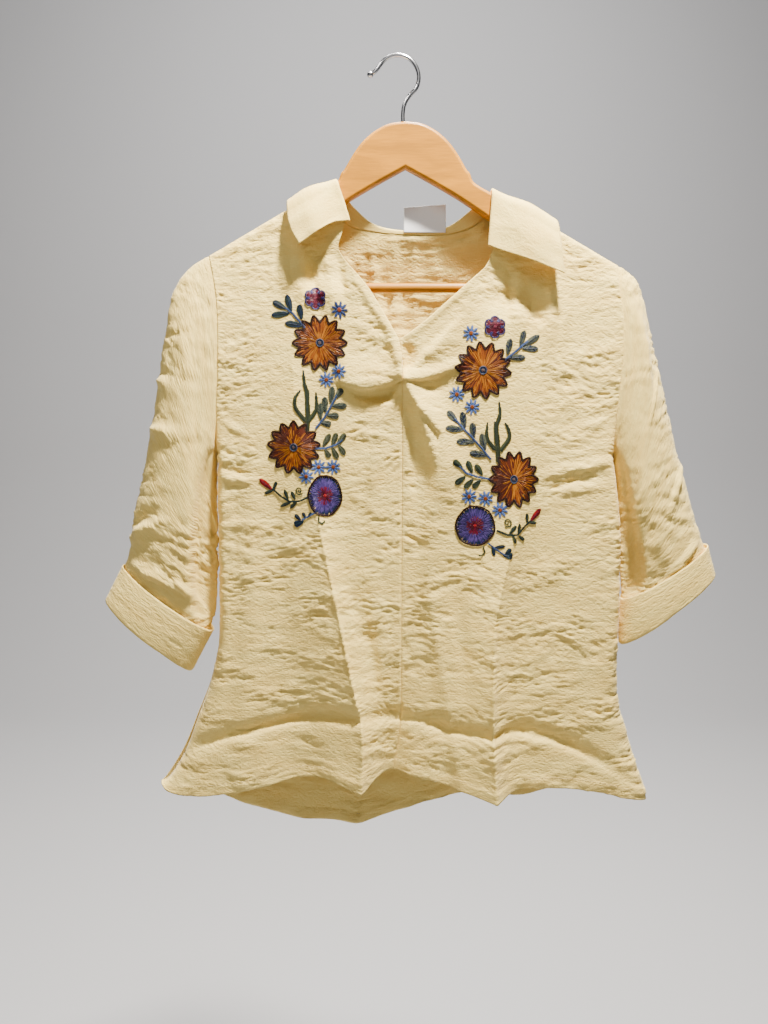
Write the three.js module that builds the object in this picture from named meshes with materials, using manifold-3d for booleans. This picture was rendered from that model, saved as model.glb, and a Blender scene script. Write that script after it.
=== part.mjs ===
// Elbow-sleeve blouse with a V neck and a shirt collar, hanging on a wooden hanger.
// Millimetres. +Z is up, +Y runs to the back, +X to the wearer's left.
// The origin is the inside of the hook's bend, where a rail or wall hook carries it.
import * as THREE from 'three';
import { mergeVertices } from 'three/addons/utils/BufferGeometryUtils.js';
import Module from 'manifold-3d';

const wasm = await Module();
wasm.setup();

// Driving dimensions
const CLOTH = 1.5; // thickness of a cloth wall
const SEAM_GAP = 0.3; // between two pieces at a seam
const HANGER_X = 3; // the hanger's middle
const HANGER_HALF = 183; // from its middle to the end of an arm
const HANGER_THICK = 12;
const SHOULDER_DOWN = 112; // where the shoulder ridge starts, below the hook
const SHOULDER_START = 67; // and how far from the hanger's middle
const SHOULDER_FALL = 0.565; // drop of the ridge for each millimetre outwards
const RIDGE_RADIUS = 8; // the cloth's bend over the hanger's arm
const ARMHOLE_DEPTH = 17; // half of the armhole's opening, front to back
const ARMHOLE_POWER = 0.76; // below 1, the opening is blunter than an ellipse
const UNDERARM_DOWN = 371.5;
const V_DOWN = 262; // where the two neck edges meet
const V_ALONG = 0.26; // and its share of the way from the shoulder to the hem
const WIRE_RADIUS = 1.9;
const HOOK_RADIUS = 20; // of the bend, to the wire's middle
const HOOK_X = -4.6;
const STEM_X = 0.8;
const BAR_RADIUS = 4.6;
const BAR_DOWN = 211;
const LABEL = { left: 2, right: 43, top: 130, bottom: 157.5, thick: 1 };

const LINEN = { color: 0xeee3b4, roughness: 0.85, metalness: 0 };
const WOOD = { color: 0xe8ae62, roughness: 0.4, metalness: 0 };
const STEEL = { color: 0xc9c9cb, roughness: 0.2, metalness: 1 };
const SATIN = { color: 0xf3eeea, roughness: 0.5, metalness: 0 };

// Outline of each front, as x at a distance down from the hook. The wearer's right is at -X.
const NECK_EDGE = {
  right: [
    { down: 113, x: -67 }, { down: 130, x: -62.5 }, { down: 150, x: -55.5 }, { down: 160, x: -57 },
    { down: 175, x: -61 }, { down: 186, x: -55 }, { down: 208, x: -36 }, { down: 222, x: -26 },
    { down: 262, x: -3 },
  ],
  left: [
    { down: 122.9, x: 90 }, { down: 140, x: 88 }, { down: 160, x: 87.5 }, { down: 176, x: 86 },
    { down: 192, x: 80 }, { down: 205, x: 66 }, { down: 222, x: 47 }, { down: 247, x: 18 },
    { down: 262, x: -3 },
  ],
};
const MIDDLE_SEAM = [
  { down: 262, x: -3 }, { down: 280, x: 0 }, { down: 296, x: 0.3 }, { down: 368, x: 0.4 },
  { down: 480, x: 0 }, { down: 574, x: 0 }, { down: 645, x: -1 }, { down: 700, x: -8 },
];
const SIDE_EDGE = {
  right: [
    { down: 180.9, x: -186 }, { down: 209, x: -180 }, { down: 241, x: -177.2 }, { down: 293, x: -178.2 },
    { down: 319, x: -180 }, { down: 350, x: -181.5 }, { down: 371.5, x: -182.5 }, { down: 480, x: -184 },
    { down: 560, x: -186 }, { down: 605, x: -196 }, { down: 640, x: -210 }, { down: 676, x: -225 },
    { down: 703, x: -241 }, { down: 715, x: -251 },
  ],
  left: [
    { down: 190.4, x: 208.8 }, { down: 203, x: 207.5 }, { down: 222, x: 210 }, { down: 241.5, x: 212.5 },
    { down: 272, x: 213 }, { down: 308, x: 211 }, { down: 345, x: 209 }, { down: 371.5, x: 209.5 },
    { down: 409, x: 215 }, { down: 452, x: 219.5 }, { down: 510, x: 221 }, { down: 620, x: 223 },
    { down: 665, x: 235 }, { down: 698, x: 246 }, { down: 722, x: 256 }, { down: 733, x: 257.6 },
  ],
};
const BACK_NECK = [
  { x: -67, down: 113 }, { x: -62, down: 137 }, { x: -52, down: 150 }, { x: -26, down: 156 },
  { x: 0, down: 158.5 }, { x: 30, down: 159 }, { x: 52, down: 157 }, { x: 70, down: 151 },
  { x: 84, down: 138 }, { x: 90, down: 122.9 },
];
const FRONT_HEM = [
  { x: -251, down: 715 }, { x: -242, down: 720.5 }, { x: -206, down: 722.5 }, { x: -180, down: 720 },
  { x: -135, down: 711 }, { x: -104, down: 703.5 }, { x: -73, down: 701.5 }, { x: -40, down: 709 },
  { x: -26, down: 700 }, { x: -8, down: 696 }, { x: 30, down: 705 }, { x: 60, down: 713.5 },
  { x: 95, down: 719 }, { x: 116, down: 715 }, { x: 154, down: 713.5 }, { x: 194, down: 716.5 },
  { x: 225, down: 724 }, { x: 257.6, down: 733 },
];
const BACK_HEM = [
  { x: -251, down: 715 }, { x: -225, down: 729 }, { x: -188, down: 743 }, { x: -162, down: 756 },
  { x: -123, down: 768 }, { x: -89, down: 769.5 }, { x: -44, down: 769 }, { x: -2, down: 759.5 },
  { x: 44, down: 746 }, { x: 95, down: 741 }, { x: 130, down: 742 }, { x: 170, down: 736 },
  { x: 220, down: 733 }, { x: 257.6, down: 733 },
];

// Columns of the back in each half, counted from the side: to the neck's end, past the ridge, and in all.
const BACK_COLUMNS = { toNeck: 8, pastRidge: 12, half: 19, slant: 0.21 };

// Radius of the bend at the side seam, which opens out towards the hem.
const SIDE_BEND = [
  { down: 360, radius: 9 }, { down: 560, radius: 12 }, { down: 650, radius: 26 }, { down: 735, radius: 44 },
];

// Folds that run down a panel: where the crest lies, how far it stands out, and how wide each flank is.
// A negative rise is a trough. Sharp folds are pressed creases.
const FRONT_FOLDS = [
  { sharp: true, towardsRight: 62, towardsLeft: 27, crest: [
    { down: 215, x: -92, rise: 0 }, { down: 277, x: -105, rise: 3 }, { down: 358, x: -98, rise: 5 },
    { down: 441, x: -81, rise: 7 }, { down: 533, x: -62, rise: 12 }, { down: 607, x: -47, rise: 17 },
    { down: 645, x: -39.5, rise: 20 }, { down: 712, x: -40.4, rise: 25 }] },
  { sharp: true, towardsRight: 46, towardsLeft: 30, crest: [
    { down: 205, x: 146, rise: 0 }, { down: 272, x: 132, rise: 3 }, { down: 358, x: 126, rise: 5 },
    { down: 427, x: 115, rise: 8 }, { down: 532, x: 93, rise: 14 }, { down: 592, x: 90.6, rise: 19 },
    { down: 642, x: 91, rise: 22 }, { down: 720, x: 95, rise: 27 }] },
  { sharp: true, towardsRight: 15, towardsLeft: 40, crest: [
    { down: 290, x: 2, rise: 2 }, { down: 312, x: 8, rise: 8 }, { down: 348, x: 23, rise: 11 },
    { down: 387, x: 34, rise: 11 }, { down: 436, x: 30, rise: 7 }, { down: 495, x: 26, rise: 5 },
    { down: 535, x: 31, rise: 4 }, { down: 614, x: 45, rise: 4 }, { down: 715, x: 62, rise: 5 }] },
  { towardsRight: 22, towardsLeft: 22, crest: [
    { down: 560, x: -8, rise: 0 }, { down: 640, x: -6, rise: -4 }, { down: 700, x: -8, rise: -8 }] },
  { towardsRight: 42, towardsLeft: 42, crest: [
    { down: 520, x: -118, rise: 0 }, { down: 620, x: -110, rise: -3 }, { down: 712, x: -104, rise: -6 }] },
  { towardsRight: 14, towardsLeft: 14, crest: [
    { down: 165, x: -98, rise: 0 }, { down: 195, x: -97, rise: 3 }, { down: 250, x: -90, rise: 0 }] },
  { towardsRight: 12, towardsLeft: 12, crest: [
    { down: 165, x: -72, rise: 0 }, { down: 200, x: -70, rise: 3 }, { down: 262, x: -62, rise: 0 }] },
  { towardsRight: 13, towardsLeft: 13, crest: [
    { down: 185, x: 112, rise: 0 }, { down: 225, x: 110, rise: 3.5 }, { down: 290, x: 104, rise: 0 }] },
  { towardsRight: 12, towardsLeft: 12, crest: [
    { down: 185, x: 146, rise: 0 }, { down: 225, x: 144, rise: 3 }, { down: 300, x: 138, rise: 0 }] },
];
const BACK_FOLDS = [
  { sharp: true, towardsRight: 40, towardsLeft: 40, crest: [
    { down: 420, x: -48, rise: 0 }, { down: 600, x: -46, rise: -6 }, { down: 769, x: -44, rise: -12 }] },
  { towardsRight: 24, towardsLeft: 24, crest: [
    { down: 215, x: -14, rise: 0 }, { down: 262, x: -10, rise: -4 }, { down: 420, x: -2, rise: 0 }] },
  { towardsRight: 48, towardsLeft: 48, crest: [
    { down: 330, x: 60, rise: 0 }, { down: 560, x: 72, rise: 5 }, { down: 745, x: 80, rise: 8 }] },
  { towardsRight: 46, towardsLeft: 46, crest: [
    { down: 330, x: -120, rise: 0 }, { down: 560, x: -132, rise: 5 }, { down: 760, x: -140, rise: 8 }] },
  { towardsRight: 40, towardsLeft: 40, crest: [
    { down: 400, x: 150, rise: 0 }, { down: 600, x: 160, rise: 4 }, { down: 738, x: 168, rise: 6 }] },
];

// Folds that run across the fronts. The cloth overhangs at its lower side.
const FRONT_TUCKS = [
  { above: 42, below: 5, crest: [
    { x: -66, down: 300, rise: 0 }, { x: -55, down: 304, rise: 5 }, { x: -30, down: 308, rise: 6.5 },
    { x: -12, down: 302, rise: 5 }, { x: 0, down: 297, rise: 2 }] },
  { above: 30, below: 5, crest: [
    { x: 0, down: 297, rise: 2 }, { x: 18, down: 297, rise: 5 }, { x: 38, down: 293, rise: 5 },
    { x: 54, down: 286, rise: 3 }, { x: 66, down: 278, rise: 0 }] },
  { above: 16, below: 16, crest: [
    { x: -250, down: 690, rise: 0 }, { x: -204, down: 667, rise: -2.5 }, { x: -98, down: 638, rise: -3 },
    { x: -38, down: 634, rise: -3 }, { x: 22, down: 641, rise: -3 }, { x: 47, down: 650, rise: -3 },
    { x: 122, down: 650, rise: -3 }, { x: 178, down: 668, rise: -3 }, { x: 250, down: 716, rise: 0 }] },
];

// Each sleeve between its outer line and its inner line, from the armhole (s = 0) to the cuff (s = 1).
const SLEEVE_OUTER = {
  right: [
    { s: 0, x: -186.4, down: 180.9 }, { s: 0.07, x: -205, down: 192.5 }, { s: 0.13, x: -218, down: 208 },
    { s: 0.19, x: -225, down: 225 }, { s: 0.27, x: -230, down: 251 }, { s: 0.39, x: -238, down: 294 },
    { s: 0.52, x: -246, down: 338 }, { s: 0.66, x: -256.5, down: 388 }, { s: 0.79, x: -268, down: 434 },
    { s: 0.9, x: -274, down: 469 }, { s: 1, x: -282, down: 493 },
  ],
  left: [
    { s: 0, x: 209.2, down: 190.4 }, { s: 0.07, x: 223.5, down: 201.5 }, { s: 0.13, x: 232, down: 217 },
    { s: 0.19, x: 238.5, down: 239 }, { s: 0.27, x: 244.5, down: 265 }, { s: 0.39, x: 253, down: 296 },
    { s: 0.52, x: 262, down: 331 }, { s: 0.66, x: 272, down: 367 }, { s: 0.79, x: 284.5, down: 406 },
    { s: 0.9, x: 298, down: 448 }, { s: 1, x: 309, down: 474 },
  ],
};
const SLEEVE_INNER = {
  right: [
    { s: 0, x: -184.6, down: 371.2 }, { s: 0.25, x: -188.5, down: 415 }, { s: 0.6, x: -190.5, down: 485 },
    { s: 1, x: -200, down: 557 },
  ],
  left: [
    { s: 0, x: 211.6, down: 371.2 }, { s: 0.25, x: 220, down: 412 }, { s: 0.6, x: 224.6, down: 470 },
    { s: 1, x: 226.8, down: 528 },
  ],
};
const SLEEVE_DEPTH = [
  { s: 0, front: 17, back: 17 }, { s: 0.2, front: 24, back: 23 }, { s: 0.5, front: 28, back: 25 },
  { s: 0.8, front: 26, back: 25 }, { s: 1, front: 22, back: 22 },
];
// The front of a sleeve falls back along its inner side. "across" is the share of the way in from the outer line.
const SLEEVE_RECESS = {
  right: [
    { s: 0, across: 1.0, fall: 0 }, { s: 0.35, across: 0.86, fall: 8 }, { s: 0.6, across: 0.74, fall: 13 },
    { s: 0.85, across: 0.8, fall: 10 }, { s: 1, across: 0.95, fall: 0 },
  ],
  left: [
    { s: 0, across: 1.0, fall: 0 }, { s: 0.35, across: 0.88, fall: 6 }, { s: 0.6, across: 0.8, fall: 11 },
    { s: 0.85, across: 0.8, fall: 11 }, { s: 1, across: 0.9, fall: 0 },
  ],
};
// Soft ridges across a sleeve's front, where it was folded in its pack.
const SLEEVE_TUCKS = {
  right: [{ s: 0.5, rise: 2.5, width: 0.05 }, { s: 0.66, rise: 3, width: 0.05 }, { s: 0.86, rise: 3, width: 0.06 }],
  left: [{ s: 0.34, rise: 2, width: 0.06 }, { s: 0.72, rise: 2.5, width: 0.06 }],
};
// A turned-up cuff: its top edge and bottom edge, each from the outer corner to the inner corner.
const CUFF = {
  right: {
    outer: [{ x: -281.5, down: 484.5 }, { x: -300, down: 519 }],
    inner: [{ x: -191.8, down: 552.5 }, { x: -214.5, down: 593 }],
  },
  left: {
    outer: [{ x: 308.5, down: 463.5 }, { x: 318, down: 493 }],
    inner: [{ x: 224.6, down: 519 }, { x: 225.2, down: 565 }],
  },
};
const CUFF_DEPTH = { top: 25.5, bottom: 26 };
const CUFF_THICK = 2;

// The collar from the wearer's right front end (s = 0), over the shoulder (1), the middle of the back (2),
// the other shoulder (3) and the left front end (4). "over" is the way over the shoulder ridge, front negative.
const COLLAR = [
  { s: 0, neckX: -55, neckOver: -42, rollX: -51.2, rollOver: -43, edgeX: -97, edgeOver: -49 },
  { s: 0.35, neckX: -58.5, neckOver: -28, rollX: -55.5, rollOver: -28.5, edgeX: -105, edgeOver: -30 },
  { s: 1, neckX: -66.6, neckOver: 0, rollX: -64.2, rollOver: 0, edgeX: -109.5, edgeOver: 0 },
  { s: 1.3, neckX: -65.6, neckOver: 12, rollX: -61.5, rollOver: 9, edgeX: -107, edgeOver: 19 },
  { s: 1.6, neckX: -58, neckOver: 36, rollX: -47, rollOver: 27, edgeX: -94, edgeOver: 54 },
  { s: 1.8, neckX: -34, neckOver: 47, rollX: -26, rollOver: 43, edgeX: -60, edgeOver: 84 },
  { s: 2, neckX: 6, neckOver: 51.5, rollX: 6, rollOver: 48.5, edgeX: 6, edgeOver: 97 },
  { s: 2.2, neckX: 50, neckOver: 49.5, rollX: 43, rollOver: 45.5, edgeX: 76, edgeOver: 88 },
  { s: 2.4, neckX: 80, neckOver: 35, rollX: 70, rollOver: 27, edgeX: 118, edgeOver: 54 },
  { s: 2.7, neckX: 88.6, neckOver: 12, rollX: 84.5, rollOver: 9, edgeX: 138, edgeOver: 19 },
  { s: 3, neckX: 89.6, neckOver: 0, rollX: 87, rollOver: 0, edgeX: 146, edgeOver: 0 },
  { s: 3.65, neckX: 87.7, neckOver: -36, rollX: 84.8, rollOver: -37, edgeX: 150, edgeOver: -30 },
  { s: 4, neckX: 86, neckOver: -58, rollX: 83.2, rollOver: -59, edgeX: 151.8, edgeOver: -48 },
];
const COLLAR_STATIONS = [
  0, 0.2, 0.4, 0.58, 0.7, 0.79, 0.86, 0.93, 1, 1.07, 1.14, 1.21, 1.3, 1.42, 1.55, 1.7, 1.85,
  2, 2.15, 2.3, 2.45, 2.58, 2.7, 2.79, 2.86, 2.93, 3, 3.07, 3.14, 3.21, 3.3, 3.42, 3.6, 3.8, 4,
];
const COLLAR_ROLL = 1.35; // radius of the roll
const COLLAR_LIFT = { roll: 2.7, edge: 2.5 }; // the fall above the panels, middle to middle

// Small tools
const lerp = (a, b, t) => a + (b - a) * t;
const clamp01 = (t) => Math.min(1, Math.max(0, t));
const smooth = (a, b, x) => { // from 0 at a to 1 at b
  const t = clamp01((x - a) / (b - a));
  return t * t * (3 - 2 * t);
};

// A column of a table at one value of its key column, on a smooth curve through the rows.
function read(rows, key, at, column) {
  const last = rows.length - 1;
  if (at <= rows[0][key]) return rows[0][column];
  if (at >= rows[last][key]) return rows[last][column];
  let i = 0;
  while (rows[i + 1][key] < at) i += 1;
  const slope = (k) => {
    const a = rows[Math.max(0, k - 1)];
    const b = rows[Math.min(last, k + 1)];
    return (b[column] - a[column]) / (b[key] - a[key]);
  };
  const h = rows[i + 1][key] - rows[i][key];
  const t = (at - rows[i][key]) / h;
  const t2 = t * t;
  const t3 = t2 * t;
  return (2 * t3 - 3 * t2 + 1) * rows[i][column] + (t3 - 2 * t2 + t) * h * slope(i)
    + (3 * t2 - 2 * t3) * rows[i + 1][column] + (t3 - t2) * h * slope(i + 1);
}

const steps = (count) => Array.from({ length: count + 1 }, (_, i) => i / count);

// How far down the shoulder ridge lies. Inside the neck it stays level.
function ridgeDown(x) {
  const out = Math.abs(x - HANGER_X) - SHOULDER_START;
  const soft = 0.5 * (out + Math.sqrt(out * out + 9));
  return SHOULDER_DOWN + SHOULDER_FALL * soft;
}

// Depth of a panel from the middle plane: a bend over the hanger, then a slow swell.
function hang(below, swell, reach) {
  if (below <= 0) return SEAM_GAP / 2;
  const inside = Math.min(below, RIDGE_RADIUS);
  const bend = Math.sqrt(RIDGE_RADIUS ** 2 - (RIDGE_RADIUS - inside) ** 2);
  const past = Math.max(0, below - RIDGE_RADIUS);
  return SEAM_GAP / 2 + bend + swell * (1 - Math.exp(-past / reach));
}

function flank(fold, share) {
  if (Math.abs(share) >= 1) return 0;
  return fold.sharp ? (1 - Math.abs(share)) ** 1.7 : 0.5 + 0.5 * Math.cos(Math.PI * share);
}

function uprightFold(fold, x, down) {
  const first = fold.crest[0].down;
  if (down < first) return 0;
  const off = x - read(fold.crest, 'down', down, 'x');
  const width = off < 0 ? fold.towardsRight : fold.towardsLeft;
  return read(fold.crest, 'down', down, 'rise') * flank(fold, off / width);
}

function levelFold(fold, x, down) {
  const ends = [fold.crest[0].x, fold.crest[fold.crest.length - 1].x];
  if (x < ends[0] || x > ends[1]) return 0;
  const off = down - read(fold.crest, 'x', x, 'down');
  const width = off < 0 ? fold.above : fold.below;
  return read(fold.crest, 'x', x, 'rise') * flank({ sharp: false }, off / width);
}

function frontDepth(x, down) {
  let depth = hang(down - ridgeDown(x), 12, 105);
  for (const fold of FRONT_FOLDS) depth += uprightFold(fold, x, down);
  for (const fold of FRONT_TUCKS) depth += levelFold(fold, x, down);
  return depth;
}

function backDepth(x, down) {
  let depth = hang(down - ridgeDown(x), 15, 110);
  for (const fold of BACK_FOLDS) depth += uprightFold(fold, x, down);
  return depth;
}

// Half of the opening at a panel's outer edge: the armhole, then a closed side seam.
function edgeDepth(side, down) {
  const top = SIDE_EDGE[side][0].down;
  const w = clamp01((down - top) / (UNDERARM_DOWN - top));
  return SEAM_GAP / 2 + ARMHOLE_DEPTH * (4 * w * (1 - w)) ** (ARMHOLE_POWER / 2);
}

// Brings a panel's depth to that of its outer edge. "inward" is the distance from the edge.
function closeSide(side, depth, edgeDown, inward) {
  const edge = edgeDepth(side, edgeDown);
  const seam = smooth(UNDERARM_DOWN - 60, UNDERARM_DOWN - 4, edgeDown);
  const bend = read(SIDE_BEND, 'down', edgeDown, 'radius');
  const round = Math.sqrt(1 - (1 - clamp01(inward / bend)) ** 2);
  const gentle = Math.sin((Math.PI / 2) * clamp01(inward / 34));
  return edge + (depth - edge) * lerp(gentle, round, seam);
}

// A point of a front. across runs from the neck edge and middle seam (0) to the side (1), along from the
// shoulder (0) to the hem (1).
function frontPoint(side, across, along) {
  const sign = side === 'right' ? -1 : 1;
  const neck = NECK_EDGE[side];
  const edge = SIDE_EDGE[side];
  const hemInner = read(FRONT_HEM, 'x', MIDDLE_SEAM[MIDDLE_SEAM.length - 1].x, 'down');
  const hemOuter = edge[edge.length - 1].down;
  const innerDown = along < V_ALONG
    ? lerp(neck[0].down, V_DOWN, along / V_ALONG)
    : lerp(V_DOWN, hemInner, (along - V_ALONG) / (1 - V_ALONG));
  const outerDown = lerp(edge[0].down, hemOuter, along);
  const inner = innerDown < V_DOWN ? neck : MIDDLE_SEAM;
  const innerX = read(inner, 'down', innerDown, 'x') + sign * (SEAM_GAP / 2);
  const outerX = read(edge, 'down', outerDown, 'x');
  const x = lerp(innerX, outerX, across);
  let down = lerp(innerDown, outerDown, across);
  down += (ridgeDown(x) - lerp(neck[0].down, edge[0].down, across)) * clamp01(1 - along * 20);
  const level = lerp(hemInner, hemOuter, across);
  down += (read(FRONT_HEM, 'x', x, 'down') - level) * smooth(0.72, 1, along);
  const y = -closeSide(side, frontDepth(x, down), outerDown, Math.abs(outerX - x));
  return [x, y, -down];
}

// A point of the back. across runs from the wearer's right side (0) to the left (1).
function backPoint(across, along) {
  const x = backX(across, along);
  const top = backTop(backX(across, 0));
  const hem = read(BACK_HEM, 'x', backX(across, 1), 'down');
  const down = lerp(top, hem, along);
  const right = backX(0, along);
  const left = backX(1, along);
  const side = x - right < left - x ? 'right' : 'left';
  const edge = SIDE_EDGE[side];
  const edgeDown = lerp(edge[0].down, edge[edge.length - 1].down, along);
  return [x, closeSide(side, backDepth(x, down), edgeDown, Math.min(x - right, left - x)), -down];
}

// The back's columns stand close together round the ends of the neck, and spread out evenly below.
function backX(across, along) {
  const at = (side, t) => {
    const edge = SIDE_EDGE[side];
    return read(edge, 'down', lerp(edge[0].down, edge[edge.length - 1].down, t), 'x');
  };
  const half = across < 0.5 ? across * 2 : 2 - across * 2;
  const spread = lerp(half, half * half, 0.85) / 2;
  const even = (t) => lerp(at('right', t), at('left', t), across < 0.5 ? spread : 1 - spread);
  return even(along) + (backTopX(across) - even(0)) * smooth(0.3, 0, along);
}

function backTopX(across) {
  const side = across < 0.5 ? 'right' : 'left';
  const half = across < 0.5 ? across * 2 : 2 - across * 2;
  const corner = side === 'right' ? BACK_NECK[0].x : BACK_NECK[BACK_NECK.length - 1].x;
  const inwards = side === 'right' ? 1 : -1;
  const [atCorner, pastRidge] = [BACK_COLUMNS.toNeck / BACK_COLUMNS.half, BACK_COLUMNS.pastRidge / BACK_COLUMNS.half];
  if (half <= atCorner) {
    const t = half / atCorner;
    return lerp(SIDE_EDGE[side][0].x, corner, lerp(t, t * (2 - t), 0.3));
  }
  const turn = clamp01((half - atCorner) / (pastRidge - atCorner)) * (Math.PI / 2);
  const over = RIDGE_RADIUS * (1 - Math.cos(turn)) * BACK_COLUMNS.slant;
  const past = clamp01((half - pastRidge) / (1 - pastRidge));
  return lerp(corner + inwards * over, (BACK_NECK[0].x + BACK_NECK[BACK_NECK.length - 1].x) / 2, past ** 1.6);
}

function backTop(x) {
  const neck = BACK_NECK;
  return x > neck[0].x && x < neck[neck.length - 1].x ? read(neck, 'x', x, 'down') : ridgeDown(x);
}

// A point above the panels near the neck: x, the way over the shoulder ridge, and the height off the cloth.
function overShoulder(x, over, lift) {
  const quarter = (RIDGE_RADIUS * Math.PI) / 2;
  const ridge = ridgeDown(x);
  if (Math.abs(over) <= quarter) {
    const angle = over / RIDGE_RADIUS;
    const radius = RIDGE_RADIUS + lift;
    return [x, radius * Math.sin(angle), -(ridge + RIDGE_RADIUS - radius * Math.cos(angle))];
  }
  const down = ridge + RIDGE_RADIUS + Math.abs(over) - quarter;
  const depth = over < 0 ? frontDepth(x, down) : backDepth(x, down);
  return [x, Math.sign(over) * (depth + lift), -down];
}

// The neck seam's way over the ridge at one station. Behind the shoulders it follows the back's neck.
function neckOver(s) {
  if (s <= 1 || s >= 3) return read(COLLAR, 's', s, 'neckOver');
  const x = read(COLLAR, 's', s, 'neckX');
  const below = Math.max(0, read(BACK_NECK, 'x', x, 'down') - ridgeDown(x));
  const quarter = (RIDGE_RADIUS * Math.PI) / 2;
  return below < RIDGE_RADIUS ? RIDGE_RADIUS * Math.acos(1 - below / RIDGE_RADIUS) : below - RIDGE_RADIUS + quarter;
}

// A point of the collar. through runs from the neck seam (0), round the roll, to the outer edge (1).
const COLLAR_THROUGH = [0, 0.12, 0.2, 0.28, 0.46, 0.64, 0.82, 1];
function collarPoint(s, through) {
  const at = (column) => read(COLLAR, 's', s, column);
  const roll = [at('rollX'), at('rollOver')];
  const towards = (x, over) => {
    const way = [x - roll[0], over - roll[1]];
    const length = Math.hypot(way[0], way[1]);
    return { length, unit: [way[0] / length, way[1] / length] };
  };
  const stand = towards(at('neckX'), neckOver(s));
  const fall = towards(at('edgeX'), at('edgeOver'));
  const place = (way, distance, lift) => overShoulder(
    roll[0] + way.unit[0] * distance, roll[1] + way.unit[1] * distance, lift);
  const standLength = Math.max(stand.length - 2.4 * SEAM_GAP, COLLAR_ROLL + 0.4);
  if (through <= 0.12) return place(stand, lerp(standLength, COLLAR_ROLL, through / 0.12), 0);
  if (through <= 0.2) return place(fall, lerp(COLLAR_ROLL, 0, (through - 0.12) / 0.08), lerp(0, COLLAR_ROLL, (through - 0.12) / 0.08));
  if (through <= 0.28) return place(fall, lerp(0, COLLAR_ROLL, (through - 0.2) / 0.08), lerp(COLLAR_ROLL, COLLAR_LIFT.roll, (through - 0.2) / 0.08));
  const t = (through - 0.28) / 0.72;
  return place(fall, lerp(COLLAR_ROLL, fall.length, t), lerp(COLLAR_LIFT.roll, COLLAR_LIFT.edge, t));
}

// A point of a sleeve. turn goes once round from the outer line, over the front, to the inner line and back.
function sleevePoint(side, turn, s) {
  const angle = turn * 2 * Math.PI;
  const across = (1 - Math.cos(angle)) / 2;
  const at = (rows, column) => read(rows[side], 's', s, column);
  let x = lerp(at(SLEEVE_OUTER, 'x'), at(SLEEVE_INNER, 'x'), across);
  const down = lerp(at(SLEEVE_OUTER, 'down'), at(SLEEVE_INNER, 'down'), across);
  const edge = SIDE_EDGE[side];
  const armholeDown = lerp(edge[0].down, UNDERARM_DOWN, across);
  const bow = read(edge, 'down', armholeDown, 'x') - lerp(edge[0].x, read(edge, 'down', UNDERARM_DOWN, 'x'), across);
  x += bow * (1 - smooth(0, 0.5, s));
  const power = lerp(ARMHOLE_POWER, 1, smooth(0, 0.3, s));
  const round = Math.abs(Math.sin(angle)) ** power;
  if (Math.sin(angle) < 0) return [x, round * read(SLEEVE_DEPTH, 's', s, 'back'), -down];
  const middle = read(SLEEVE_RECESS[side], 's', s, 'across');
  const fall = read(SLEEVE_RECESS[side], 's', s, 'fall') * smooth(middle - 0.16, middle + 0.08, across);
  let depth = round * read(SLEEVE_DEPTH, 's', s, 'front');
  for (const tuck of SLEEVE_TUCKS[side]) {
    const share = (s - tuck.s) / tuck.width;
    depth += tuck.rise * flank({ sharp: false }, share) * round * (1 - across);
  }
  return [x, -Math.max(depth - fall * Math.sqrt(round), depth * 0.25), -down];
}

function cuffPoint(side, turn, s) {
  const angle = turn * 2 * Math.PI;
  const across = (1 - Math.cos(angle)) / 2;
  const { outer, inner } = CUFF[side];
  const x = lerp(lerp(outer[0].x, outer[1].x, s), lerp(inner[0].x, inner[1].x, s), across);
  const down = lerp(lerp(outer[0].down, outer[1].down, s), lerp(inner[0].down, inner[1].down, s), across);
  return [x, -Math.sin(angle) * lerp(CUFF_DEPTH.top, CUFF_DEPTH.bottom, s), -down];
}

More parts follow.
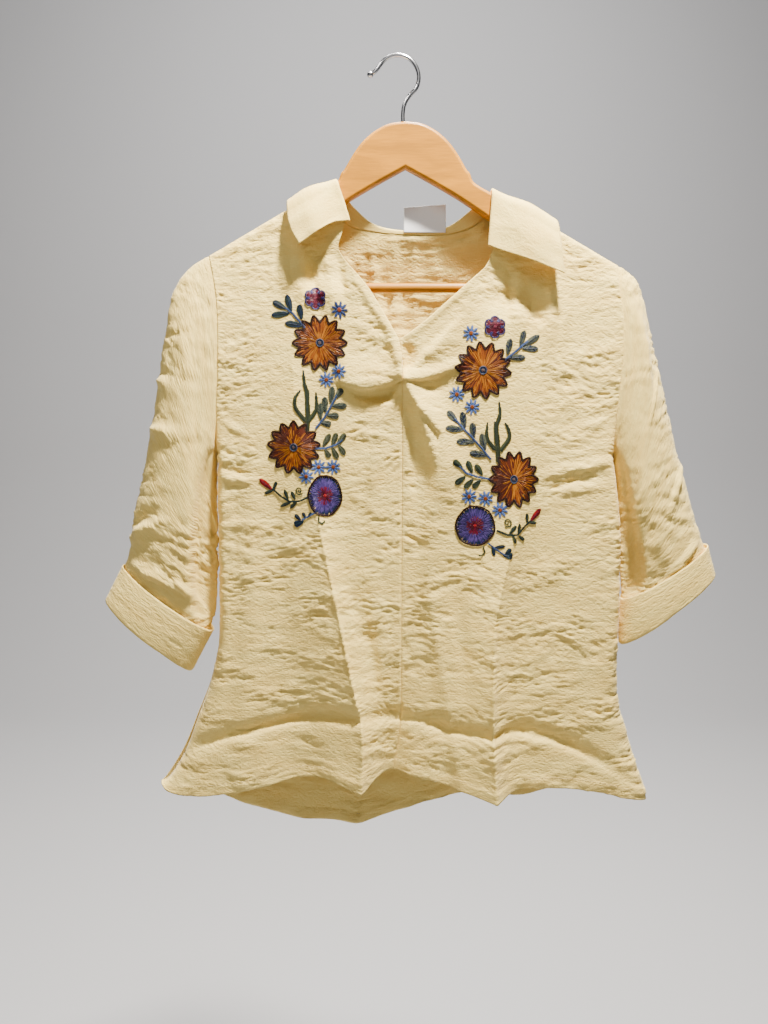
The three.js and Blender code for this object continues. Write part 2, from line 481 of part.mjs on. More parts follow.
// A closed cloth wall round the middle surface point(a, b) over the grid of as and bs. A ring joins up in a.
// square(a, b) says how far the wall's thickness is kept from leaning sideways, 0 to 1.
function clothWall(point, as, bs, { thick = CLOTH, ring = false, square = null } = {}) {
  const near = 2e-4;
  const vec = (a, b) => new THREE.Vector3(...point(a, b));
  const columns = ring ? as.length - 1 : as.length;
  const outer = [];
  const inner = [];
  const span = (list) => [list[0], list[list.length - 1]];
  const [aLow, aHigh] = span(as);
  const [bLow, bHigh] = span(bs);
  for (const b of bs) {
    for (let i = 0; i < columns; i += 1) {
      const a = as[i];
      const alongA = vec(ring ? a + near : Math.min(aHigh, a + near), b)
        .sub(vec(ring ? a - near : Math.max(aLow, a - near), b));
      const alongB = vec(a, Math.min(bHigh, b + near)).sub(vec(a, Math.max(bLow, b - near)));
      const normal = alongA.cross(alongB);
      if (square) normal.x *= 1 - square(a, b);
      normal.normalize().multiplyScalar(thick / 2);
      const middle = vec(a, b);
      outer.push(middle.clone().add(normal));
      inner.push(middle.clone().sub(normal));
    }
  }
  const rows = bs.length;
  const back = outer.length;
  const index = [];
  const quad = (a, b, c, d) => index.push(a, b, c, a, c, d);
  const id = (i, j) => j * columns + (i % columns);
  const last = ring ? columns : columns - 1;
  for (let j = 0; j < rows - 1; j += 1) {
    for (let i = 0; i < last; i += 1) {
      const [p, q, r, t] = [id(i, j), id(i + 1, j), id(i + 1, j + 1), id(i, j + 1)];
      quad(p, q, r, t);
      quad(back + p, back + t, back + r, back + q);
    }
  }
  for (let i = 0; i < last; i += 1) {
    quad(id(i, 0), back + id(i, 0), back + id(i + 1, 0), id(i + 1, 0));
    quad(id(i, rows - 1), id(i + 1, rows - 1), back + id(i + 1, rows - 1), back + id(i, rows - 1));
  }
  if (!ring) {
    for (let j = 0; j < rows - 1; j += 1) {
      quad(id(0, j), id(0, j + 1), back + id(0, j + 1), back + id(0, j));
      quad(id(last, j), back + id(last, j), back + id(last, j + 1), id(last, j + 1));
    }
  }
  const points = [...outer, ...inner];
  const geometry = new THREE.BufferGeometry().setFromPoints(points);
  geometry.setIndex(facingOut(points, index));
  return geometry;
}

// Turns every face round if the closed surface encloses a negative volume.
function facingOut(points, index) {
  let volume = 0;
  for (let i = 0; i < index.length; i += 3) {
    const [a, b, c] = [points[index[i]], points[index[i + 1]], points[index[i + 2]]];
    volume += a.dot(b.clone().cross(c));
  }
  if (volume > 0) return index;
  const turned = [];
  for (let i = 0; i < index.length; i += 3) turned.push(index[i], index[i + 2], index[i + 1]);
  return turned;
}

function solidOf(geometry) {
  const bare = geometry.clone();
  bare.deleteAttribute('normal');
  bare.deleteAttribute('uv');
  const merged = mergeVertices(bare, 1e-3);
  return new wasm.Manifold(new wasm.Mesh({
    numProp: 3,
    vertProperties: new Float32Array(merged.attributes.position.array),
    triVerts: new Uint32Array(merged.index.array),
  }));
}

function geometryOf(solid) {
  const mesh = solid.getMesh();
  const geometry = new THREE.BufferGeometry();
  geometry.setAttribute('position', new THREE.BufferAttribute(new Float32Array(mesh.vertProperties), 3));
  geometry.setIndex(new THREE.BufferAttribute(new Uint32Array(mesh.triVerts), 1));
  return geometry;
}

const blouse = new THREE.Group();

function add(name, geometry, finish) {
  const flat = geometry.index ? geometry.toNonIndexed() : geometry;
  flat.computeVertexNormals();
  const mesh = new THREE.Mesh(flat, new THREE.MeshStandardMaterial(finish));
  mesh.name = name;
  blouse.add(mesh);
  return mesh;
}

// Rows from the shoulder down: close together round the ridge, then even.
function rowsDown(length, count) {
  const ridge = [0, 1.2, 3.2, 5.8, 9.5].map((drop) => drop / length);
  const start = ridge[ridge.length - 1];
  return [...ridge, ...steps(count).slice(1).map((t) => lerp(start, 1, t))];
}

function addFronts() {
  const across = steps(17).map((t) => Math.sin((t * Math.PI) / 2) * 0.62 + t * 0.38 * (2 - t));
  const along = rowsDown(560, 27).filter((t) => Math.abs(t - V_ALONG) > 0.01);
  along.push(V_ALONG);
  along.sort((a, b) => a - b);
  for (const side of ['right', 'left']) {
    const square = (a, b) => (a === 0 ? 1 : Number(a > 0.999) * smooth(0.32, 0.24, b));
    add(`front_${side}`, clothWall((a, b) => frontPoint(side, a, b), across, along, { square }), LINEN);
  }
}

function addBack() {
  const square = (a, b) => Number(Math.abs(a - 0.5) > 0.499) * smooth(0.32, 0.24, b);
  add('back', clothWall(backPoint, steps(2 * BACK_COLUMNS.half), rowsDown(560, 24), { square }), LINEN);
}

function addSleeves() {
  for (const side of ['right', 'left']) {
    const rings = steps(13).map((t) => lerp(t * t, t, 0.6));
    const square = (a, b) => Number(b === 0);
    add(`sleeve_${side}`, clothWall((a, b) => sleevePoint(side, a, b), steps(24), rings, { ring: true, square }), LINEN);
    add(`cuff_${side}`, clothWall((a, b) => cuffPoint(side, a, b), steps(24), steps(3),
      { thick: CUFF_THICK, ring: true }), LINEN);
  }
}

function addCollar() {
  add('collar', clothWall(collarPoint, COLLAR_STATIONS, COLLAR_THROUGH), LINEN);
}

function addLabel() {
  const { left, right, top, bottom, thick } = LABEL;
  const point = (a, b) => {
    const x = lerp(left, right, a);
    const down = lerp(bottom, top, b);
    const seat = backDepth(x, bottom) - CLOTH / 2 - 2 * SEAM_GAP - thick / 2;
    return [x, seat + 3 * b * b + 1.2 * Math.sin(a * Math.PI) * b, -down - 3 * (a - 1) * b];
  };
  add('label', clothWall(point, steps(4), steps(4), { thick }), SATIN);
}

// Top and bottom edge of the hanger's right half, from its middle to its end, as distances out and down.
const HANGER_TOP = [
  [0, 58], [14, 59.5], [25, 64], [34, 70], [43, 78.5], [51, 89.5], [58, 101], [61.5, 104.7], [63.4, 107.7],
  [64.4, 114.2], [70, 116.4], [76.5, 120], [84, 124], [110, 138.1], [150, 160.7], [174, 174.2],
];
const HANGER_END = [[182, 181], [183, 190], [181, 212], [176, 221], [168, 223], [158, 217]];
const HANGER_BOTTOM = [[138, 189], [110, 167.5], [60, 134], [30, 116.5], [0, 100.5]];

function addHanger() {
  const half = [...HANGER_TOP, ...HANGER_END, ...HANGER_BOTTOM];
  const mirrored = half.slice(1, -1).map(([out, down]) => [-out, down]).reverse();
  const bevel = 3.6;
  const outline = [...half, ...mirrored].map(([out, down]) => new THREE.Vector2(HANGER_X + out, -down));
  const shape = new THREE.Shape(outline);
  const plank = new THREE.ExtrudeGeometry(shape, {
    depth: HANGER_THICK - 2 * bevel, bevelEnabled: true, bevelThickness: bevel, bevelSize: bevel,
    bevelOffset: -bevel, bevelSegments: 3, curveSegments: 1, steps: 1,
  });
  plank.translate(0, 0, bevel - HANGER_THICK / 2);
  plank.rotateX(Math.PI / 2);
  const stemHole = new THREE.CylinderGeometry(WIRE_RADIUS + SEAM_GAP, WIRE_RADIUS + SEAM_GAP, 22, 16);
  stemHole.rotateX(Math.PI / 2);
  stemHole.translate(STEM_X, 0, -HANGER_TOP[0][1] - 9);
  const barHole = new THREE.CylinderGeometry(BAR_RADIUS + SEAM_GAP, BAR_RADIUS + SEAM_GAP, 2 * (HANGER_HALF - 8), 20);
  barHole.rotateZ(Math.PI / 2);
  barHole.translate(HANGER_X, 0, -BAR_DOWN);
  const arms = solidOf(plank).subtract(solidOf(stemHole)).subtract(solidOf(barHole));
  add('hanger_arms', geometryOf(arms), WOOD);

  const bar = new THREE.CylinderGeometry(BAR_RADIUS, BAR_RADIUS, 2 * (HANGER_HALF - 9), 20);
  bar.rotateZ(Math.PI / 2);
  bar.translate(HANGER_X, 0, -BAR_DOWN);
  add('hanger_bar', bar, WOOD);
}

function addHook() {
  const bend = Math.sqrt((HOOK_RADIUS - WIRE_RADIUS) ** 2 - HOOK_X ** 2); // its middle lies this far down
  const round = steps(11).map((t) => lerp(-28, 150, t) * (Math.PI / 180)).map((angle) => new THREE.Vector3(
    HOOK_X + HOOK_RADIUS * Math.cos(angle), 0, -bend + HOOK_RADIUS * Math.sin(angle)));
  const stem = [[STEM_X, -76], [STEM_X, -62], [STEM_X, -46.5], [2.6, -40], [7.4, -33]];
  const tail = [[-25.4, -11.6], [-29, -14.2]];
  const at = ([x, z]) => new THREE.Vector3(x, 0, z);
  const path = new THREE.CatmullRomCurve3([...stem.map(at), ...round, ...tail.map(at)], false, 'centripetal');
  const ring = new THREE.Shape();
  ring.absarc(0, 0, WIRE_RADIUS, 0, 2 * Math.PI, false);
  const wire = new THREE.ExtrudeGeometry(ring, { steps: 56, curveSegments: 4, extrudePath: path });
  const knob = new THREE.SphereGeometry(3, 12, 8);
  knob.translate(-30.4, 0, -14.8);
  add('hanger_hook', geometryOf(solidOf(wire).add(solidOf(knob))), STEEL);
}

addFronts();
addBack();
addSleeves();
addCollar();
addLabel();
addHanger();
addHook();

export default blouse;
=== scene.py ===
"""An embroidered crinkle blouse hanging on a wooden hanger.

Sizes in the tables are millimetres in the frame of the solids: x to the wearer's left, y to the back,
and "down" below the inside of the hanger's hook. Every mesh is made in metres.
"""
import math
import random

import bmesh
import bpy
import numpy as np
from bpy.props import FloatProperty, FloatVectorProperty, PointerProperty
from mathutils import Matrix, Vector, noise


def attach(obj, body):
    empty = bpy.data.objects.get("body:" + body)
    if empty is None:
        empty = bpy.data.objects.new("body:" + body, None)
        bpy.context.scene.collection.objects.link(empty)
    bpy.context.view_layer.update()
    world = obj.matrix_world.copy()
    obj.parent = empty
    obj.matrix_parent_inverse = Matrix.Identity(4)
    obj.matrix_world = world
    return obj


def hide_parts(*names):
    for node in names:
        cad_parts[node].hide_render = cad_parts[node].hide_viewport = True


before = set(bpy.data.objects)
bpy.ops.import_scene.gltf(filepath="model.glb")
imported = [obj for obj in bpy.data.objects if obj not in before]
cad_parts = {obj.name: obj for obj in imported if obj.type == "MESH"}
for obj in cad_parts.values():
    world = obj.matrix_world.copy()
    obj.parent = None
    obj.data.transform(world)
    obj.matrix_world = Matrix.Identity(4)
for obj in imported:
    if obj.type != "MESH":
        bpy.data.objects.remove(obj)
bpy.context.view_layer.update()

bl_info = {
    "name": "Embroidered Blouse on a Hanger",
    "version": (1, 0, 0),
    "blender": (4, 5, 0),
    "location": "3D View > Sidebar > Blouse",
    "description": "Builds a crinkle blouse with embroidered fronts, hanging on a wooden hanger",
    "category": "Add Mesh",
}

MM = 0.001

# Sizes that the pieces share with the solids, and how far one cloth's edge reaches into the next
SEAM = 0.1
SEAM_OVERLAP = -0.12
HANGER_X = 3
HANGER_THICK = 12
SHOULDER_DOWN = 112
SHOULDER_START = 67
SHOULDER_FALL = 0.565
RIDGE_RADIUS = 8
ARMHOLE_DEPTH = 17
ARMHOLE_POWER = 0.76
UNDERARM_DOWN = 371.5
V_DOWN = 262
V_ALONG = 0.26
TACK_DOWN = 299
LAP_HEIGHT = 4.4
WIRE_RADIUS = 1.9
HOOK_RADIUS = 20
HOOK_X = -4.6
STEM_X = 0.8
WIRE_TIP = (-30.4, -14.8)
WIRE_TIP_RADIUS = 3
BAR_RADIUS = 4.6
BAR_DOWN = 211
BAR_LONG = 344
ARM_EDGE = 3.4
HEM_DEPTH = 11

# How a panel swells out below the hanger, and the way down over which it does so
FRONT_SWELL = (12, 105)
BACK_SWELL = (15, 110)

# Shares of the way through the collar where its stand ends and its fall starts, and of the cuff where its
# outside ends and its inside starts
COLLAR_STAND_END = 0.12
COLLAR_FALL_START = 0.26
CUFF_OUTSIDE_END = 0.5
CUFF_INSIDE_START = 0.58

# How far a sleeve's head is tucked in at the armhole, and how deep a cuff is from its middle to its front
HEAD_TUCK = 2.6
CUFF_HALF_DEPTH = (25.5, 26)

# How far inside its outer layer a cuff's inner one lies, and the share of the way back up that it covers
CUFF_FOLD_DEPTH = 3.2
CUFF_TURN_UP = 0.86

# Height of the collar's fall over its stand, and how far its two leaves stand off the fronts
COLLAR_LIFT = 2.7
LEAF_LIFT = 14

# Shell thickness of each cloth
BODY_THICK = 0.55
CUFF_THICK = 0.9
COLLAR_THICK = 1.2
LABEL_THICK = 0.4


class Line:
    """A smooth line through rows of numbers. The first column is the place along it."""

    def __init__(self, *rows):
        self.rows = np.array(rows, float)

    def at(self, where, column=1):
        """Values of a column at the given places, held level beyond the ends."""
        keys = self.rows[:, 0]
        values = self.rows[:, column]
        last = len(keys) - 1
        where = np.clip(np.asarray(where, float), keys[0], keys[-1])
        i = np.clip(np.searchsorted(keys, where, side="left") - 1, 0, last - 1)
        before = np.maximum(np.arange(last + 1) - 1, 0)
        after = np.minimum(np.arange(last + 1) + 1, last)
        slopes = (values[after] - values[before]) / (keys[after] - keys[before])
        span = keys[i + 1] - keys[i]
        t = (where - keys[i]) / span
        t2 = t * t
        t3 = t2 * t
        return (
            (2 * t3 - 3 * t2 + 1) * values[i]
            + (t3 - 2 * t2 + t) * span * slopes[i]
            + (3 * t2 - 2 * t3) * values[i + 1]
            + (t3 - t2) * span * slopes[i + 1]
        )


# Outlines of the fronts: down, x
NECK_EDGE = {
    "right": Line((113, -67), (130, -62.5), (150, -55.5), (160, -57), (175, -61), (186, -55), (208, -36),
                  (222, -26), (262, -3)),
    "left": Line((122.9, 90), (140, 88), (160, 87.5), (176, 86), (192, 80), (205, 66), (222, 47), (247, 18),
                 (262, -3)),
}
MIDDLE_SEAM = Line((262, -3), (280, 0), (296, 0.3), (368, 0.4), (480, 0), (574, 0), (645, -1), (700, -8))
SIDE_EDGE = {
    "right": Line((180.9, -186), (209, -180), (241, -177.2), (293, -178.2), (319, -180), (350, -181.5),
                  (371.5, -182.5), (480, -184), (560, -186), (605, -196), (640, -210), (676, -225),
                  (703, -241), (715, -251)),
    "left": Line((190.4, 208.8), (203, 207.5), (222, 210), (241.5, 212.5), (272, 213), (308, 211),
                 (345, 209), (371.5, 209.5), (409, 215), (452, 219.5), (510, 221), (620, 223), (665, 235),
                 (698, 246), (722, 256), (733, 257.6)),
}
# Neck and hems: x, down
BACK_NECK = Line((-67, 113), (-62, 137), (-52, 150), (-26, 156), (0, 158.5), (30, 159), (52, 157),
                 (70, 151), (84, 138), (90, 122.9))
FRONT_HEM = Line((-251, 715), (-242, 720.5), (-206, 722.5), (-180, 720), (-135, 711), (-104, 703.5),
                 (-73, 701.5), (-40, 709), (-26, 700), (-8, 696), (30, 705), (60, 713.5), (95, 719),
                 (116, 715), (154, 713.5), (194, 716.5), (225, 724), (257.6, 733))
BACK_HEM = Line((-251, 715), (-225, 729), (-188, 743), (-162, 756), (-123, 768), (-89, 769.5), (-44, 769),
                (-2, 759.5), (44, 746), (95, 741), (130, 742), (170, 736), (220, 733), (257.6, 733))
BACK_COLUMNS = {"to_neck": 8 / 19, "past_ridge": 12 / 19, "slant": 0.21}
# Down, radius of the bend at the side seam
SIDE_BEND = Line((360, 9), (560, 12), (650, 26), (735, 44))

# Sleeve lines: s from the armhole (0) to the cuff (1), x, down
SLEEVE_OUTER = {
    "right": Line((0, -186.4, 180.9), (0.07, -205, 192.5), (0.13, -218, 208), (0.19, -225, 225),
                  (0.27, -230, 251), (0.39, -238, 294), (0.52, -246, 338), (0.66, -256.5, 388),
                  (0.79, -268, 434), (0.9, -274, 469), (1, -282, 493)),
    "left": Line((0, 209.2, 190.4), (0.07, 223.5, 201.5), (0.13, 232, 217), (0.19, 238.5, 239),
                 (0.27, 244.5, 265), (0.39, 253, 296), (0.52, 262, 331), (0.66, 272, 367),
                 (0.79, 284.5, 406), (0.9, 298, 448), (1, 309, 474)),
}
SLEEVE_INNER = {
    "right": Line((0, -184.6, 371.2), (0.25, -186, 415), (0.6, -186.6, 485), (0.85, -190, 531),
                  (1, -199, 557)),
    "left": Line((0, 211.6, 371.2), (0.25, 217.4, 412), (0.6, 222, 470), (1, 226.8, 528)),
}
# Depth of a sleeve: s, front, back
SLEEVE_DEPTH = Line((0, 17, 17), (0.2, 24, 23), (0.5, 28, 25), (0.8, 26, 25), (1, 22, 22))
# Hollow along a sleeve: s, share of the way in where the front falls back, fall
SLEEVE_RECESS = {
    "right": Line((0, 1.0, 0), (0.18, 0.84, 7), (0.35, 0.76, 15), (0.6, 0.71, 19), (0.85, 0.78, 15),
                  (1, 0.93, 0)),
    "left": Line((0, 1.0, 0), (0.2, 0.88, 5), (0.38, 0.84, 12), (0.6, 0.79, 17), (0.85, 0.78, 16),
                 (1, 0.88, 0)),
}
# Top and bottom of the turned-up cuff at its outer and inner corner: x, down
CUFF = {
    "right": {"outer": ((-281.5, 484.5), (-300, 519)), "inner": ((-191.8, 552.5), (-214.5, 593))},
    "left": {"outer": ((308.5, 463.5), (318, 493)), "inner": ((224.6, 519), (225.2, 565))},
}
# Collar: s round the neck, neck x and way over the ridge, roll x and over, edge x and over
COLLAR = Line(
    (0, -55, -42, -51.2, -43, -97, -49), (0.35, -58.5, -28, -55.5, -28.5, -105, -30),
    (1, -66.6, 0, -64.2, 0, -109.5, 0), (1.3, -65.6, 12, -61.5, 9, -107, 19),
    (1.6, -58, 36, -47, 27, -94, 54), (1.8, -34, 47, -26, 43, -60, 84), (2, 6, 51.5, 6, 48.5, 6, 97),
    (2.2, 50, 49.5, 43, 45.5, 76, 88), (2.4, 80, 35, 70, 27, 118, 54), (2.7, 88.6, 12, 84.5, 9, 138, 19),
    (3, 89.6, 0, 87, 0, 146, 0), (3.65, 87.7, -36, 84.8, -37, 150, -30), (4, 86, -58, 83.2, -59, 151.8, -48),
)
COLLAR_ROLL = 1.5


class Fold:
    """A ridge in the cloth, or a trough where its rise is negative, along a line of (x, down, rise)."""

    def __init__(self, right, left, *line, sharp=False):
        self.right = right
        self.left = left
        self.line = line
        self.sharp = sharp

    def shape(self, share):
        """Height by the share of the way from the crest to the fold's foot."""
        share = np.clip(np.abs(share), 0, 1)
        if self.sharp:
            return (1 - share) ** 1.7
        return 0.5 + 0.5 * np.cos(np.pi * share)

    def rise(self, x, down):
        """Height at each point, from the nearest stretch of the line."""
        nearest = np.full(x.shape, 1e9)
        height = np.zeros(x.shape)
        for (x0, d0, r0), (x1, d1, r1) in zip(self.line, self.line[1:]):
            along = np.array((x1 - x0, d1 - d0), float)
            length = math.hypot(*along)
            unit = along / length
            t = np.clip(((x - x0) * unit[0] + (down - d0) * unit[1]) / length, 0, 1)
            off_x = x - x0 - t * along[0]
            off_d = down - d0 - t * along[1]
            gap = np.hypot(off_x, off_d)
            side = off_x * unit[1] - off_d * unit[0]
            width = np.where(side < 0, self.right, self.left)
            closer = gap < nearest
            nearest = np.where(closer, gap, nearest)
            height = np.where(closer, (r0 + (r1 - r0) * t) * self.shape(gap / width), height)
        return height


class Hang(Fold):
    """A fold that runs down a panel. Its right side has the smaller x."""

    def rise(self, x, down):
        crest = Line(*((d, x0, r) for x0, d, r in self.line))
        off = x - crest.at(down, 1)
        width = np.where(off < 0, self.right, self.left)
        height = crest.at(down, 2) * self.shape(off / width)
        return np.where(down < self.line[0][1], 0, height)


class Tuck(Fold):
    """A fold that runs across a panel. Its right side is above it, and its left side below."""

    def rise(self, x, down):
        crest = Line(*self.line)
        off = down - crest.at(x, 1)
        width = np.where(off < 0, self.right, self.left)
        height = crest.at(x, 2) * self.shape(off / width)
        return np.where((x < self.line[0][0]) | (x > self.line[-1][0]), 0, height)


PRESSED_CREASE = {
    "right": Hang(62, 27, (-92, 215, 0), (-105, 277, 3), (-98, 358, 5), (-81, 441, 7), (-62, 533, 12),
                  (-47, 607, 17), (-39.5, 645, 20), (-40.4, 712, 25), sharp=True),
    "left": Hang(46, 30, (146, 205, 0), (132, 272, 3), (126, 358, 5), (115, 427, 8), (93, 532, 14),
                 (90.6, 592, 19), (91, 642, 22), (95, 720, 27), sharp=True),
}
# Share of a front's columns that lie between its middle edge and its pressed crease
CREASE_COLUMN = 0.44
# Folds that carry the collar's leaves as well
COLLAR_FOLDS = [
    Hang(14, 14, (-98, 165, 0), (-97, 195, 4), (-90, 250, 0)),
    Hang(12, 12, (-72, 165, 0), (-70, 200, 4), (-62, 262, 0)),
    Hang(13, 13, (112, 185, 0), (110, 225, 4.5), (104, 290, 0)),
    Hang(12, 12, (146, 185, 0), (144, 225, 4), (138, 300, 0)),
]
FRONT_FOLDS = [
    PRESSED_CREASE["right"],
    PRESSED_CREASE["left"],
    # the fold that starts at the V's tack
    Hang(15, 40, (2, 290, 2), (8, 312, 8), (23, 348, 11), (34, 387, 11), (30, 436, 7), (26, 495, 5),
         (31, 535, 4), (45, 614, 4), (62, 715, 5), sharp=True),
    Hang(22, 22, (-8, 560, 0), (-6, 640, -4), (-8, 700, -8)),
    Hang(42, 42, (-118, 520, 0), (-110, 620, -3), (-104, 712, -6)),
    *COLLAR_FOLDS,
    Tuck(42, 2.6, (-66, 300, 0), (-55, 304, 5), (-30, 308, 7), (-12, 303, 6), (0, 299, 3)),
    Tuck(13, 2.6, (0, 299, 2), (18, 299, 4), (38, 294, 4.4), (54, 287, 2.6), (66, 278, 0)),
    Tuck(16, 16, (-250, 690, 0), (-204, 667, -2.5), (-98, 638, -3), (-38, 634, -3), (22, 641, -3),
         (47, 650, -3), (122, 650, -3), (178, 668, -3), (250, 716, 0)),
    Tuck(13, 3, (-246, 702, 0), (-206, 672, -1.6), (-98, 643, -2.4), (-42, 638, -2.2), (-38, 640, -0.6),
         (22, 645, -1.6), (47, 654, -2.4), (90, 655, -1.8), (122, 656, -2), (178, 674, -1.6), (250, 718, 0)),
    # drag lines out of the tack
    Fold(5, 9, (-58, 186, 0), (-40, 212, 1.2), (-14, 252, 1.8), (-4, 282, 2.4), (0, 298, 0)),
    Fold(7, 9, (2, 264, 0), (7, 274, -4), (6, 286, -3.6), (2, 298, 0)),
    Fold(7, 6, (86, 180, 0), (68, 207, 1), (42, 230, 1.4), (12, 256, 1.2), (-2, 266, 0)),
    Fold(9, 9, (-58, 311, 0), (-36, 317, -4), (-14, 316, -5.6), (-3, 306, 0)),
    Fold(2.5, 22, (2, 304, 1.5), (17, 328, 4.8), (36, 350, 4.4), (39, 380, 2.6), (36, 430, 0)),
    Fold(26, 3, (1, 299, 2), (11, 288, 5), (24, 274, 6), (42, 255, 3.6), (60, 237, 0), sharp=True),
    # bright pressed lines
    Hang(2.6, 2.6, (-98, 358, 0), (-81, 441, 0.4), (-62, 533, 1.3), (-47, 607, 1.4), (-39.5, 645, 1.3),
         (-40.4, 712, 1), sharp=True),
    Hang(2.6, 2.6, (126, 358, 0), (115, 427, 0.6), (93, 532, 1.1), (90.6, 592, 1.3), (91, 642, 1.3),
         (95, 720, 1.1), sharp=True),
    # hollows under the collar
    Fold(34, 38, (-78, 166, -2), (-79, 182, -6.5), (-80, 200, -7.5), (-80, 219, 0)),
    Fold(44, 50, (102, 176, -2), (103, 196, -7), (105, 222, -8.5), (107, 246, 0)),
    Fold(9, 13, (-3, 303, 1.6), (-20, 342, 2.6), (-29, 398, 1.6), (-26, 452, 0)),
    Fold(7, 7, (3, 322, 0), (9, 352, -2.8), (14, 386, -3.2), (12, 428, 0)),
    Fold(8, 8, (10, 312, 0), (30, 309, -2.2), (54, 303, 0)),
    Fold(8, 10, (34, 318, 0), (56, 352, 1.6), (60, 404, 1.8), (54, 462, 0)),
    # small folds under the collar
    Fold(7, 7, (-88, 172, 0), (-86, 205, -2.2), (-78, 248, 0)),
    Fold(6, 7, (-84, 168, 0), (-81, 196, 1.8), (-74, 232, 0)),
    Fold(6, 6, (-60, 178, 0), (-58, 206, -1.4), (-50, 240, 0)),
    Fold(7, 7, (-112, 160, 0), (-113, 196, 1.6), (-108, 240, 0)),
    Fold(7, 7, (98, 186, 0), (97, 222, 2.2), (92, 262, 0)),
    Fold(7, 7, (104, 186, 0), (104, 226, -2), (98, 270, 0)),
    Fold(8, 8, (126, 196, 0), (126, 232, -2.2), (120, 280, 0)),
    Fold(7, 8, (160, 196, 0), (158, 236, 1.8), (150, 292, 0)),
    # the side panels
    Fold(16, 20, (-142, 300, 0), (-148, 400, 2.4), (-150, 520, 2.8), (-158, 620, 2), (-166, 708, 2)),
    Fold(13, 13, (-124, 380, 0), (-120, 470, -1.6), (-112, 560, 0)),
    Fold(5, 8, (-181, 332, 0), (-166, 346, 1.7), (-146, 354, 0)),
    Fold(5, 9, (-182, 388, 0), (-164, 398, 1.8), (-138, 402, 0)),
    Fold(5, 9, (-184, 446, 0), (-160, 440, 1.4), (-140, 444, 0)),
    Fold(14, 18, (178, 330, 0), (176, 430, 1.8), (178, 540, 2.4), (186, 640, 2), (190, 708, 2)),
    Fold(11, 11, (152, 430, 0), (154, 520, -1.8), (150, 610, 0)),
    Fold(5, 12, (128, 398, 0), (150, 391, 2), (172, 386, 2.6), (196, 382, 2.2), (212, 380, 0)),
    Fold(7, 7, (134, 406, 0), (170, 398, -2), (206, 392, 0)),
    Fold(5, 10, (138, 416, 0), (172, 407, 1.6), (210, 404, 0)),
    Fold(5, 8, (206, 330, 0), (190, 342, 1.6), (170, 346, 0)),
    Fold(12, 12, (-62, 470, 0), (-34, 560, -2.2), (-22, 630, 0)),
    Fold(12, 12, (50, 480, 0), (62, 570, -2.4), (66, 640, 0)),
    Fold(12, 12, (-30, 470, 0), (-18, 560, 1.6), (-16, 640, 1), (-20, 700, 0)),
]
# The back falls away below the neck, and the collar with it
BACK_FALL = Fold(90, 90, (10, 162, 0), (12, 190, 5.5), (12, 222, 9.5), (12, 268, 12), (12, 340, 8),
                 (12, 460, 0))
BACK_FOLDS = [
    BACK_FALL,
    Hang(40, 40, (-48, 420, 0), (-46, 600, -6), (-44, 769, -12), sharp=True),
    Hang(24, 24, (-14, 215, 0), (-10, 262, -4), (-2, 420, 0)),
    Hang(48, 48, (60, 330, 0), (72, 560, 5), (80, 745, 8)),
    Hang(46, 46, (-120, 330, 0), (-132, 560, 5), (-140, 760, 8)),
    Hang(40, 40, (150, 400, 0), (160, 600, 4), (168, 738, 6)),
    # gathers under the neck
    Fold(6, 5, (-30, 164, -1), (-26, 205, -4), (-18, 280, 0)),
    Fold(5, 6, (-19, 196, 0), (-16, 222, 3), (-11, 280, 0)),
    Fold(6, 4, (-8, 163, -1.4), (-7, 210, -5), (-4, 300, 0)),
    Fold(4, 6, (2, 196, 0), (3, 224, 3.4), (5, 290, 0)),
    Fold(6, 6, (13, 164, -1), (13, 200, -3.4), (14, 260, 0)),
    Fold(6, 6, (33, 166, 0), (35, 205, -3), (38, 262, 0)),
    Fold(7, 7, (56, 196, 0), (60, 224, 2.4), (66, 280, 0)),
    Fold(8, 8, (-50, 196, 0), (-54, 224, 2.4), (-62, 280, 0)),
    # drag lines from the shoulders and across the middle
    Fold(9, 12, (-96, 160, 0), (-104, 230, 2.4), (-112, 320, 0)),
    Fold(9, 12, (118, 170, 0), (128, 240, 2.4), (134, 330, 0)),
    Fold(7, 10, (-176, 330, 0), (-150, 352, 2), (-112, 360, 0)),
    Fold(7, 10, (206, 340, 0), (178, 360, 2), (140, 364, 0)),
    Fold(6, 10, (-160, 430, 0), (-110, 442, 1.6), (-50, 436, 0)),
    Fold(6, 10, (190, 452, 0), (130, 462, 1.8), (60, 452, 0)),
    Fold(14, 18, (10, 420, 0), (16, 540, 2.4), (18, 640, 2), (20, 744, 3)),
    Fold(14, 16, (-90, 440, 0), (-92, 560, 2), (-92, 700, 3)),
    Tuck(14, 14, (-245, 690, 0), (-180, 676, -2), (-60, 664, -2.4), (60, 662, -2.4), (180, 676, -2),
         (250, 716, 0)),
]
